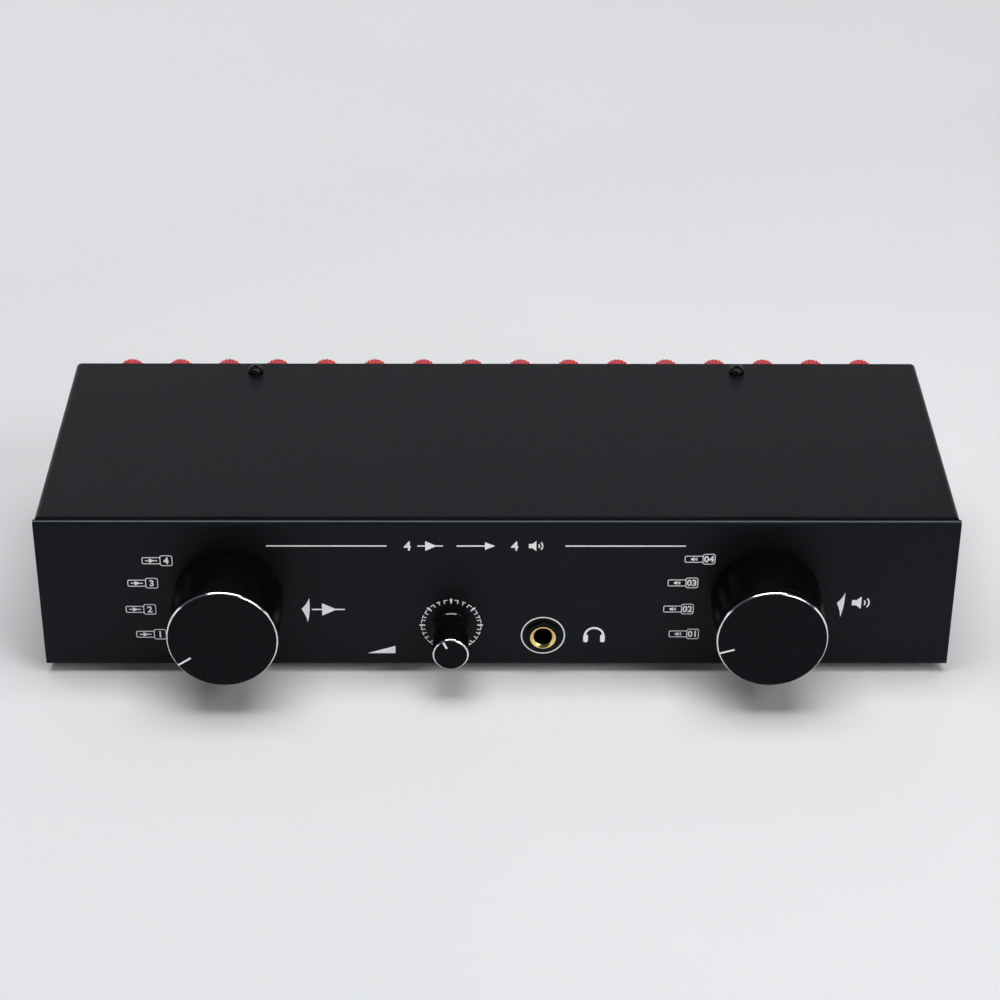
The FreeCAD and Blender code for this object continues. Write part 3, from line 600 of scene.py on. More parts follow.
class Workpiece:
    """Faces gathered for one piece, in millimetres in the frame."""

    def __init__(self) -> None:
        """Start with no faces."""
        self.mesh = bmesh.new()
        self.finishes: list[Finish] = []

    def _slot(self, finish: Finish) -> int:
        """Find the place of a finish among those that the piece uses.

        Args:
            finish: The finish.

        Returns:
            Its number.
        """
        if finish not in self.finishes:
            self.finishes.append(finish)
        return self.finishes.index(finish)

    def face(self, corners: Sequence[bmesh.types.BMVert], finish: Finish) -> None:
        """Add one face."""
        self.mesh.faces.new(corners).material_index = self._slot(finish)

    def loop(self, points: Sequence[Sequence[float]]) -> list[bmesh.types.BMVert]:
        """Add corners and return them."""
        return [self.mesh.verts.new(point) for point in points]

    def bridge(self, first: Sequence, second: Sequence, finish: Finish) -> None:
        """Join two closed rows of as many corners by a band of faces.

        Args:
            first: Corners of one row.
            second: Corners of the other.
            finish: Finish of the band.
        """
        for index in range(len(first)):
            after = (index + 1) % len(first)
            self.face((first[index], first[after], second[after], second[index]), finish)

    def fan(self, tip: bmesh.types.BMVert, ring: Sequence, finish: Finish) -> None:
        """Join one corner to a closed row by triangles."""
        for index, corner in enumerate(ring):
            self.face((tip, corner, ring[(index + 1) % len(ring)]), finish)

    def slab(self, outline: Sequence[Point], y_front: float, y_rear: float, finish: Finish,
             hole: Sequence[Point] | None = None) -> None:
        """Add a flat plate that lies in X and Z.

        Args:
            outline: Corners (x, z) of the outer edge.
            y_front: Place of the front face.
            y_rear: Place of the rear face.
            finish: Finish of the plate.
            hole: Corners of an inner edge, as many as the outer edge has, or None.
        """
        edges = [[self.loop([(x, y, z) for x, z in edge]) for y in (y_front, y_rear)]
                 for edge in (outline, hole) if edge is not None]
        for front, rear in edges:
            self.bridge(front, rear, finish)
        for side in range(2):
            if hole is None:
                self.face(edges[0][side], finish)
            else:
                self.bridge(edges[0][side], edges[1][side], finish)

    def take(self, mesh: bpy.types.Mesh, place: Matrix, finish: Finish) -> None:
        """Add a ready mesh, which is removed.

        Args:
            mesh: The mesh.
            place: What brings it to its place in millimetres.
            finish: Finish of its faces.
        """
        known = set(self.mesh.faces)
        mesh.transform(place)
        self.mesh.from_mesh(mesh)
        bpy.data.meshes.remove(mesh)
        for added in set(self.mesh.faces) - known:
            added.material_index = self._slot(finish)

    def to_mesh(self, name: str) -> bpy.types.Mesh:
        """End with a plain mesh in the unit that the faces have.

        Args:
            name: Name of the mesh.

        Returns:
            The mesh.
        """
        mesh = bpy.data.meshes.new(name)
        self.mesh.to_mesh(mesh)
        self.mesh.free()
        return mesh

    def done(self, name: str, smooth_below: float = SHARP_FROM) -> bpy.types.Object:
        """Turn the gathered faces into an object of the scene, in metres.

        Args:
            name: Name of the piece.
            smooth_below: Edges that turn by less than this many degrees are shaded smooth.

        Returns:
            The new object.
        """
        bmesh.ops.remove_doubles(self.mesh, verts=self.mesh.verts[:], dist=WELD)
        bmesh.ops.recalc_face_normals(self.mesh, faces=self.mesh.faces[:])
        bmesh.ops.scale(self.mesh, vec=(MM, MM, MM), verts=self.mesh.verts[:])
        mesh = self.to_mesh(name)
        for finish in self.finishes:
            mesh.materials.append(finish.material)
        shade(mesh, smooth_below)
        return stand(name, mesh)


def shade(mesh: bpy.types.Mesh, smooth_below: float) -> None:
    """Shade a mesh smooth up to an angle in degrees."""
    mesh.polygons.foreach_set("use_smooth", [True] * len(mesh.polygons))
    mesh.set_sharp_from_angle(angle=math.radians(smooth_below))


@dataclass(frozen=True)
class Station:
    """One corner of a turned piece's section, with the finish of the band that follows it."""

    radius: float
    y: float
    finish: Finish | None = None


def turned(work: Workpiece, centre: Point, stations: Sequence[Station], finish: Finish,
           segments: int = 128) -> None:
    """Add faces turned about an axis along Y.

    Args:
        work: The piece that gets the faces.
        centre: Place (x, z) of the axis.
        stations: Corners of the section in order. A section that starts and ends off the axis
            closes on itself.
        finish: Finish of the bands that have none of their own.
        segments: Number of steps round the axis.
    """
    rings = []
    for station in stations:
        angles = circle(segments) if station.radius else [0.0]
        rings.append(work.loop([(centre[0] + station.radius * math.sin(angle), station.y,
                                 centre[1] + station.radius * math.cos(angle))
                                for angle in angles]))
    closed = stations[0].radius > 0 and stations[-1].radius > 0
    for index in range(len(rings) if closed else len(rings) - 1):
        first, second = rings[index], rings[(index + 1) % len(rings)]
        band = stations[index].finish or finish
        if len(first) == len(second):
            work.bridge(first, second, band)
        elif len(first) == 1:
            work.fan(first[0], second, band)
        else:
            work.fan(second[0], first, band)


def arc(centre: Point, radius: float, start: float, end: float, steps: int) -> list[Point]:
    """Points of an arc.

    Args:
        centre: Middle of the arc.
        radius: Its radius.
        start: Angle of the first point in degrees, clockwise from the top.
        end: Angle of the last point.
        steps: Number of steps between the two.

    Returns:
        The points in order.
    """
    angles = [math.radians(start + (end - start) * step / steps) for step in range(steps + 1)]
    return [(centre[0] + radius * math.sin(angle), centre[1] + radius * math.cos(angle))
            for angle in angles]


def rounded_box(centre: Point, width: float, height: float, corner: float) -> list[Point]:
    """Outline of a box with rounded corners, clockwise from its top right.

    Args:
        centre: Middle of the box.
        width: Its size along X.
        height: Its size along Z.
        corner: Radius of its corners.

    Returns:
        The corners (x, z).
    """
    steps = 5
    across, up = width / 2 - corner, height / 2 - corner
    corners = [((across, up), 0), ((across, -up), 90), ((-across, -up), 180), ((-across, up), 270)]
    return [point for (x, z), start in corners
            for point in arc((centre[0] + x, centre[1] + z), corner, start, start + 90, steps)]


def softened(node: str, finish: Finish, width: float, segments: int = 2,
             accent: Finish | None = None,
             accented: Callable[[Vector, Vector], bool] | None = None) -> bpy.types.Object:
    """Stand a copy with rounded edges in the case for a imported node.

    Args:
        node: Name of the node that is copied and replaced.
        finish: Finish of the copy.
        width: Width of the rounding in millimetres.
        segments: Steps across the rounding.
        accent: Finish of some of the faces, or None.
        accented: Tells from a face's middle in millimetres and its normal whether it takes
            the accent.

    Returns:
        The new piece.
    """
    mesh = bpy.data.objects[node].data.copy()
    mesh.materials.clear()
    for used in filter(None, (finish, accent)):
        mesh.materials.append(used.material)
    work = bmesh.new()
    work.from_mesh(mesh)
    bmesh.ops.remove_doubles(work, verts=work.verts[:], dist=PACKED_WELD * MM)
    bmesh.ops.dissolve_limit(work, angle_limit=math.radians(FLAT_BELOW), verts=work.verts[:],
                             edges=work.edges[:])
    for face in work.faces:
        marked = accented is not None and accented(face.calc_center_median() / MM, face.normal)
        face.material_index = int(marked)
    work.to_mesh(mesh)
    work.free()
    shade(mesh, SHARP_FROM)
    piece = stand(node + "_finished", mesh)
    bevel = piece.modifiers.new("rounded_edges", "BEVEL")
    bevel.width = width * MM
    bevel.segments = segments
    bevel.limit_method = "ANGLE"
    bevel.angle_limit = math.radians(SHARP_FROM)
    bevel.harden_normals = True
    hand_over(piece, CASE_BODY, node)
    return piece


def dress(node: str, finish: Finish) -> None:
    """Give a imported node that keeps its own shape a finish.

    Args:
        node: Name of the node.
        finish: Its finish.
    """
    mesh = bpy.data.objects[node].data
    mesh.materials.clear()
    mesh.materials.append(finish.material)
    LOG.info("%s keeps its shape and is finished in %s", node, finish.name)


def hand_over(piece: bpy.types.Object, body: str, *nodes: str) -> None:
    """Make a finished piece ride on a body.

    Args:
        piece: The piece.
        body: Name of the body.
        nodes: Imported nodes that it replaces, if any.
    """
    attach(piece, body)
    if nodes:
        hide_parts(*nodes)
    LOG.info("%s rides on %s with %d faces", piece.name, body, len(piece.data.polygons))


# ---- Case ----------------------------------------------------------------------------------------


@dataclass
class CoverScrews:
    """Two black pan head screws with cross recesses at the rear of the cover."""

    fullness: float = 5.5
    recess_reach: float = 1.55
    recess_width: float = 0.62
    recess_depth: float = 1.1
    recess_run: float = 0.35
    sunk: float = 0.5
    rings: int = 26
    segments: int = 72
    smooth_below: float = 25
    turn: dict[Side, float] = field(default_factory=lambda: {Side.LEFT: 24.0, Side.RIGHT: 58.0})

    def height(self, radius: float, angle: float, head: float, rise: float) -> float:
        """Height of the head's top above its seat.

        Args:
            radius: Distance from the screw's axis.
            angle: Direction from the axis, from one arm of the recess.
            head: Radius of the head.
            rise: Height of the head.

        Returns:
            The height in millimetres.
        """
        share = radius / head
        dome = rise * (1 - share ** self.fullness) ** 0.5 if share < 1 else 0.0
        near, far = sorted((abs(radius * math.sin(angle)), abs(radius * math.cos(angle))))
        if near < self.recess_width / 2 and far < self.recess_reach:
            return dome - self.recess_depth * min(1.0, (self.recess_reach - far) / self.recess_run)
        return dome

    def build(self) -> None:
        """Build both heads as one piece."""
        whole = Extent.of("cover_screws")
        seat = Extent.of("top_cover").high.z
        rise, head = whole.high.z - seat, whole.half(1)
        work = Workpiece()
        for side in Side:
            edge = whole.high.x if side is Side.RIGHT else whole.low.x
            centre = Vector((edge - side.value * head, whole.centre.y, 0))
            turn = math.radians(self.turn[side])

            def at(radius: float, angle: float, lift: float) -> Vector:
                """Place on the screw by its radius, its angle and its height."""
                return centre + Vector((radius * math.cos(angle + turn),
                                        radius * math.sin(angle + turn), lift))

            rings = []
            for step in range(1, self.rings + 1):
                radius = head * math.sin(math.pi / 2 * step / self.rings)
                rings.append(work.loop([
                    at(radius, angle, seat + self.height(radius, angle, head, rise))
                    for angle in circle(self.segments)]))
            foot = work.loop([at(head, angle, seat - self.sunk) for angle in circle(self.segments)])
            for first, second in zip(rings, [*rings[1:], foot]):
                work.bridge(first, second, BLACK_OXIDE)
            tip = work.loop([at(0, 0, seat + self.height(0, 0, head, rise))])
            work.fan(tip[0], rings[0], BLACK_OXIDE)
            work.face(foot, BLACK_OXIDE)
        piece = work.done("cover_screw_heads", self.smooth_below)
        hand_over(piece, CASE_BODY, "cover_screws")


@dataclass
class Case:
    """Folded tray and cover with their screws and feet."""

    sheet_edge: float = 0.16
    foot_edge: float = 0.9
    fold_reach: float = 1.6
    fold_rise: float = 0.6
    fold_lean: float = 0.02
    screws: CoverScrews = field(default_factory=CoverScrews)

    def build(self) -> None:
        """Build the sheet metal, its front fold with painted highlight, the feet and the screws."""
        front = Extent.of("chassis_tray").low.y

        def on_front_fold(place: Vector, normal: Vector) -> bool:
            """Whether a face of the tray is on the front fold and takes the painted highlight."""
            return (place.y < front + self.fold_reach and normal.z > self.fold_rise
                    and normal.y < -self.fold_lean)

        # Faces of the front fold take the coat with the painted highlight.
        tray = softened("chassis_tray", CASE_COAT, self.sheet_edge, accent=FOLD_HIGHLIGHT_COAT,
                        accented=on_front_fold)
        softened("top_cover", CASE_COAT, self.sheet_edge)
        softened("rubber_feet", RUBBER, self.foot_edge, 3)
        self.screws.build()


# ---- Knobs ---------------------------------------------------------------------------------------


@dataclass
class Knob:
    """Turned knob with a bright cut edge, a pointer, and a groove or a bead round its wall."""

    node: str
    shaft: str
    body: str
    pointer_turn: float
    bevel: float = 0.36
    bevel_depth: float = 0.55
    edge_roll: float = 0.1
    groove_from_face: float = 3.3
    groove_width: float = 0.26
    groove_depth: float = 0.2
    rear_bead: float = 0.0
    bead_length: float = 0.12
    bead_slope: float = 0.24
    bead_land: float = 0.06
    rear_chamfer: float = 0.3
    wall_shine: float = 0.03
    recess_radius: float = 10.5
    recess_depth: float = 8.0
    bore_depth: float = 20.0
    pointer_length: float = 5.1
    pointer_width: float = 0.6
    pointer_proud: float = 0.03
    pointer_sunk: float = 0.1
    segments: int = 192
    # Shares of the bevel's width and depth at which it turns, and of the roll at which it ends.
    bevel_turn: ClassVar[Point] = (0.45, 0.3)
    bevel_end: ClassVar[float] = 0.4

    def build(self) -> None:
        """Build the turned body with its pointer."""
        place, shaft = Extent.of(self.node), Extent.of(self.shaft)
        centre = shaft.axis
        skin = replace(ANODISED, name=self.node + "_anodised", axis=centre)
        # The walls take the darker copy: painted shade on the knob's sides.
        wall = replace(ANODISED_SHADED_WALL, name=self.node + "_anodised_wall", axis=centre,
                       shine=self.wall_shine)
        bright = replace(CUT_ALUMINIUM, name=self.node + "_cut_edge", axis=centre)
        face, rear = place.low.y, place.high.y
        radius = max(place.high.x - centre[0], centre[0] - place.low.x, place.high.z - centre[1])
        roll, reach = self.edge_roll, radius - self.bevel - self.edge_roll
        depth, shaft_radius = rear - self.recess_depth, shaft.half(0)
        stations = [
            Station(0, face),
            Station(reach, face, bright),
            Station(radius - roll - self.bevel * self.bevel_turn[0],
                    face + self.bevel_depth * self.bevel_turn[1], bright),
            Station(radius - roll * self.bevel_end, face + self.bevel_depth, skin),
            Station(radius, face + self.bevel_depth + roll, wall),
            *self._groove(radius, face + self.groove_from_face, skin, wall),
            *self._rear_edge(radius, rear, wall),
            Station(self.recess_radius, rear),
            Station(self.recess_radius, depth),
            Station(shaft_radius, depth),
            Station(shaft_radius, rear - self.bore_depth),
            Station(0, rear - self.bore_depth),
        ]
        work = Workpiece()
        turned(work, centre, stations, skin, self.segments)
        self._pointer(work, centre, reach, face)
        piece = work.done(self.node + "_turned")
        hand_over(piece, self.body, self.node)

    def _groove(self, radius: float, y: float, skin: Finish, wall: Finish) -> list[Station]:
        """Groove round the wall, if the knob has one.

        Args:
            radius: Radius of the wall.
            y: Place of the groove along Y.
            skin: Finish of its front slope.
            wall: Finish of the rest of the wall, darker with painted shade.

        Returns:
            Its stations.
        """
        if not self.groove_width:
            return []
        return [
            Station(radius, y - self.groove_width),
            Station(radius - self.groove_depth, y - self.groove_width / 2, skin),
            Station(radius - self.groove_depth, y, skin),
            Station(radius, y + self.groove_width / 2, wall),
        ]

    def _rear_edge(self, radius: float, rear: float, wall: Finish) -> list[Station]:
        """Bead with a polished slope at the rear end of the wall, or a plain chamfer.

        Args:
            radius: Radius of the wall.
            rear: Place of its end along Y.
            wall: Its finish, darker with painted shade.

        Returns:
            The stations.
        """
        if not self.rear_bead:
            return [Station(radius, rear - self.rear_chamfer),
                    Station(radius - self.rear_chamfer, rear)]
        bead, full = rear - self.bead_length, radius + self.rear_bead
        return [
            Station(radius, bead - self.bead_slope, LIP_METAL),
            Station(full, bead, wall),
            Station(full, rear - self.bead_land),
            Station(full - self.edge_roll, rear),
        ]

    def _pointer(self, work: Workpiece, centre: Point, reach: float, face: float) -> None:
        """Add the painted line from the face's edge towards its middle.

        Args:
            work: The piece that gets the line.
            centre: The knob's axis.
            reach: Radius at which the line starts.
            face: Place of the knob's face.
        """
        half, end = self.pointer_width / 2, reach - self.pointer_length
        outline = [turned_by(self.pointer_turn, centre, across, out)
                   for across, out in ((-half, reach), (half, reach), (half, end), (-half, end))]
        work.slab(outline, face - self.pointer_proud, face + self.pointer_sunk, WHITE_INK)


def turned_by(degrees: float, centre: Point, across: float, out: float) -> Point:
    """Turn a point clockwise round a centre.

    Args:
        degrees: How far it is turned.
        centre: The centre.
        across: How far right of the centre it lies before the turn.
        out: How far above the centre it lies before the turn.

    Returns:
        The turned point.
    """
    sine, cosine = math.sin(math.radians(degrees)), math.cos(math.radians(degrees))
    return centre[0] + across * cosine + out * sine, centre[1] - across * sine + out * cosine


# ---- Panel marks ---------------------------------------------------------------------------------


class Marking(Enum):
    """Pictograms printed on the panel, with the corners of their filled part.

    The corners are measured from the pictogram's middle in halves of its height.
    """

    AMPLIFIER = ((1.2, 0), (-0.8, -1), (-0.8, 1))
    LOUDSPEAKER = ((-1.15, 0.42), (-0.55, 0.42), (0.12, 1), (0.12, -1), (-0.55, -0.42),
                   (-1.15, -0.42))
    HEADPHONES = ()
    LEVEL = ((-3.2, -1), (3.2, 1), (3.2, -1))


@dataclass
class PanelPrint:
    """Draws ink shapes that stand a hair proud of the front panel."""

    front: float
    work: Workpiece = field(default_factory=Workpiece)
    thickness: float = 0.04
    sunk: float = 0.02
    coat: float = 0.006
    # Share of a frame's line by which its inner corners are tighter than its outer ones.
    corner_share: ClassVar[float] = 0.7
    # The steps of a ring: the least of them, and the degrees of each.
    ring_steps: ClassVar[int] = 6
    ring_step: ClassVar[float] = 4
    # Pictograms, in shares of half their height.
    leads: ClassVar[tuple[float, float]] = (-2.2, 2.3)
    sound_radii: ClassVar[tuple[float, float]] = (0.62, 1.15)
    sound_angle: ClassVar[float] = 42
    sound_source: ClassVar[Point] = (0.12, 0)
    band_centre: ClassVar[Point] = (0, -0.1)
    band_radius: ClassVar[float] = 1.1
    cup_inset: ClassVar[float] = 0.08
    cup_height: ClassVar[float] = -0.45
    cup_width: ClassVar[float] = 0.5
    cup_corner: ClassVar[float] = 0.2

    def shape(self, outline: Sequence[Point], hole: Sequence[Point] | None = None,
              layer: int = 0) -> None:
        """Print a filled shape.

        Args:
            outline: Corners of its outer edge.
            hole: As many corners of its inner edge, or None.
            layer: How many coats lie under it; shapes that cross need different layers.
        """
        face = self.front - self.thickness - layer * self.coat
        self.work.slab(outline, face, self.front + self.sunk, WHITE_INK, hole)

    def frame(self, centre: Point, width: float, height: float, corner: float, line: float,
              layer: int = 0) -> None:
        """Print the outline of a rounded box.

        Args:
            centre: Middle of the box.
            width: Outer width.
            height: Outer height.
            corner: Outer corner radius.
            line: Width of the line.
            layer: How many coats lie under it.
        """
        self.shape(rounded_box(centre, width, height, corner),
                   rounded_box(centre, width - 2 * line, height - 2 * line,
                               corner - line * self.corner_share), layer)

    def ring(self, centre: Point, radius: float, line: float, start: float = 0,
             end: float = 360) -> None:
        """Print a circle, or an arc of it clockwise from the top.

        Args:
            centre: Middle of the circle.
            radius: Outer radius.
            line: Width of the line.
            start: First angle in degrees.
            end: Last angle in degrees.
        """
        steps = max(self.ring_steps, round((end - start) / self.ring_step))
        outer, inner = (arc(centre, edge, start, end, steps) for edge in (radius, radius - line))
        if end - start >= 360:
            self.shape(outer[:-1], inner[:-1])
        else:
            self.shape(outer + inner[::-1])

    def rule(self, start: Point, end: Point, line: float, layer: int = 1) -> None:
        """Print a straight line.

        Args:
            start: Where it starts.
            end: Where it ends.
            line: Its width.
            layer: The layer that it lies on.
        """
        along = (Vector(end) - Vector(start)).normalized() * line / 2
        side = Vector((-along.y, along.x))
        corners = [Vector(start) + side, Vector(end) + side, Vector(end) - side,
                   Vector(start) - side]
        self.shape([tuple(corner) for corner in corners], layer=layer)

    def figures(self, text: str, centre: Point, height: float, weight: float = 0.0) -> None:
        """Print figures centred on a point.

        Args:
            text: The figures.
            centre: Their middle.
            height: Their height.
            weight: How much bolder than the plain font they are.
        """
        curve = bpy.data.curves.new("figures", "FONT")
        curve.body = text
        curve.align_x = "CENTER"
        curve.offset = weight
        curve.resolution_u = 3
        curve.extrude = 0.5
        mesh = flatten(stand("figures", curve))
        heights = [corner.co.y for corner in mesh.vertices]
        low, high = min(heights), max(heights)
        scale = height / (high - low)
        depth = self.thickness + self.sunk
        place = Matrix.Translation((centre[0], self.front + self.sunk - depth / 2,
                                    centre[1] - (low + high) / 2 * scale))
        size = Matrix.Diagonal((scale, scale, depth, 1))
        self.work.take(mesh, place @ Matrix.Rotation(math.pi / 2, 4, "X") @ size, WHITE_INK)

    def pictogram(self, kind: Marking, centre: Point, height: float, line: float) -> None:
        """Print a small picture of a device.

        Args:
            kind: What the picture stands for.
            centre: Middle of the picture.
            height: Its height.
            line: Width of its lines.
        """
        half = height / 2

        def at(across: float, up: float = 0.0, shift: float = 0.0) -> Point:
            """Place in the picture by shares of half its height, and a shift across."""
            return centre[0] + across * half + shift, centre[1] + up * half

        outline = [at(*corner) for corner in kind.value]
        if outline:
            self.shape(outline)
        if kind is Marking.AMPLIFIER:
            (nose, _), (rear, _), _ = kind.value
            self.rule(at(self.leads[0]), at(rear, shift=line), line)
            self.rule(at(nose, shift=-line), at(self.leads[1]), line)
        elif kind is Marking.LOUDSPEAKER:
            for radius in self.sound_radii:
                self.ring(at(*self.sound_source), radius * half, line, 90 - self.sound_angle,
                          90 + self.sound_angle)
        elif kind is Marking.HEADPHONES:
            self.ring(at(*self.band_centre), self.band_radius * half, line, -90, 90)
            for side in Side:
                cup = at(side.value * (self.band_radius - self.cup_inset), self.cup_height,
                         -side.value * line / 2)
                self.shape(rounded_box(cup, self.cup_width * half, half, self.cup_corner * half),
                           layer=1)

    def done(self, name: str) -> None:
        """Finish what was printed as one piece of the case."""
        hand_over(self.work.done(name), CASE_BODY)


@dataclass
class SelectorMarks:
    """Position boxes, pointer arrow and device picture of one selector."""

    name: str
    device: Marking
    positions: Sequence[tuple[str, Point]]
    arrow: Sequence[Point]
    picture: Point
    tag_width: float = 4.3
    tag_height: float = 4.2
    lead_width: float = 6.3
    lead_height: float = 2.7
    corner: float = 0.8
    lead_corner: float = 0.56
    line: float = 0.27
    figure_height: float = 2.6
    figure_weight: float = 0.03
    sign_height: float = 1.8
    sign_line: float = 0.32
    picture_height: float = 5.0
    picture_line: float = 0.5
    blade_hollow: float = 0.14
    blade_swell: float = 0.17
    blade_steps: int = 8

    def build(self, front: float, bottom: float) -> None:
        """Print the marks.

        Args:
            front: Place of the panel along Y.
            bottom: Height of the case's bottom edge, which the marks' heights start from.
        """
        ink = PanelPrint(front)
        for figures, (x, height) in self.positions:
            z = height + bottom
            ink.frame((x, z), self.tag_width, self.tag_height, self.corner, self.line)
            ink.figures(figures, (x, z), self.figure_height, self.figure_weight)
            lead = x - (self.tag_width + self.lead_width) / 2 + self.line, z
            ink.frame(lead, self.lead_width, self.lead_height, self.lead_corner, self.line, 1)
            ink.pictogram(self.device, lead, self.sign_height, self.sign_line)
        ink.shape(self._blade(*(Vector((x, z + bottom)) for x, z in self.arrow)))
        ink.pictogram(self.device, (self.picture[0], self.picture[1] + bottom),
                      self.picture_height, self.picture_line)
        ink.done(self.name)

    def _blade(self, tip: Vector, top: Vector, bottom: Vector) -> list[Point]:
        """Outline of the arrow: a long side that swells outwards and two hollow sides.

        Args:
            tip: Corner that points at the knob.
            top: Upper end of the long side.
            bottom: Lower end of the long side.

        Returns:
            The outline's corners.
        """
        outline = []
        depth = (top + bottom) / 2 - tip
        for start, end, bow in ((tip, top, self.blade_hollow), (top, bottom, self.blade_swell),
                                (bottom, tip, self.blade_hollow)):
            for step in range(self.blade_steps):
                share = step / self.blade_steps
                outline.append(start.lerp(end, share) + depth * bow * 4 * share * (1 - share))
        return [tuple(point) for point in outline]


class Tick(Enum):
    """Kinds of marks round the volume knob: a diamond, or a hook by the side of its stem."""

    DIAMOND = "diamond"
    STEM_AFTER = "stem_after"
    STEM_MIDDLE = "stem_middle"
    STEM_BEFORE = "stem_before"


@dataclass
class VolumeScale:
    """Ring of marks round the volume knob: diamonds with small hooks between each two.

    The angles are those of the right half, from the top; the left half mirrors it.
    """

    angles: Sequence[tuple[float, Tick]] = (
        (10.8, Tick.STEM_AFTER), (25.2, Tick.STEM_MIDDLE), (39.4, Tick.STEM_BEFORE),
        (49.0, Tick.DIAMOND), (58.0, Tick.STEM_AFTER), (70.6, Tick.STEM_MIDDLE),
        (81.4, Tick.STEM_BEFORE), (90.0, Tick.DIAMOND), (97.5, Tick.STEM_AFTER),
        (109.6, Tick.STEM_MIDDLE), (121.0, Tick.STEM_MIDDLE), (131.5, Tick.STEM_AFTER),
        (141.0, Tick.STEM_MIDDLE))
    bar_radius: float = 10.35
    bar_half: float = 0.68
    bar_line: float = 0.3
    stem_reach: float = 8.95
    stem_line: float = 0.34
    diamond_reach: float = 11.0
    diamond_waist: float = 10.2
    diamond_neck: float = 9.45
    diamond_half: float = 0.5
    diamond_stem: float = 0.24
    diamond_foot: float = 8.8
    picture_gap: float = 24.0
    picture_drop: float = 10.1
    picture_height: float = 3.0
    picture_line: float = 0.4

    def _outline(self, kind: Tick) -> list[Point]:
        """Outline of one mark as if it stood at the top.

        Args:
            kind: Kind of mark.

        Returns:
            Its corners: across, and out from the axis.
        """
        if kind is Tick.DIAMOND:
            right = [(0, self.diamond_reach), (self.diamond_half, self.diamond_waist),
                     (self.diamond_stem, self.diamond_neck), (self.diamond_stem, self.diamond_foot)]
            return right + [(-across, out) for across, out in right[:0:-1]]
        low, high = self.bar_radius - self.bar_line, self.bar_radius
        half, line = self.bar_half, self.stem_line
        middle = {Tick.STEM_AFTER: half - line / 2, Tick.STEM_MIDDLE: 0.0,
                  Tick.STEM_BEFORE: line / 2 - half}[kind]
        left, right = middle - line / 2, middle + line / 2
        outline = [(-half, high), (half, high), (half, low), (right, low),
                   (right, self.stem_reach), (left, self.stem_reach), (left, low), (-half, low)]
        return [corner for index, corner in enumerate(outline) if corner != outline[index - 1]]

    def build(self, front: float, centre: Point) -> None:
        """Print the ring round the knob's axis.

        Args:
            front: Place of the panel along Y.
            centre: The knob's axis (x, z).
        """
        ink = PanelPrint(front)
        marks = [(0.0, Tick.DIAMOND, 1)]
        marks += [(angle, kind, side.value) for angle, kind in self.angles for side in Side]
        for angle, kind, side in marks:
            ink.shape([turned_by(side * angle, centre, side * across, out)
                       for across, out in self._outline(kind)])
        ink.pictogram(Marking.LEVEL, (centre[0] - self.picture_gap, centre[1] - self.picture_drop),
                      self.picture_height, self.picture_line)
        ink.done("volume_scale")


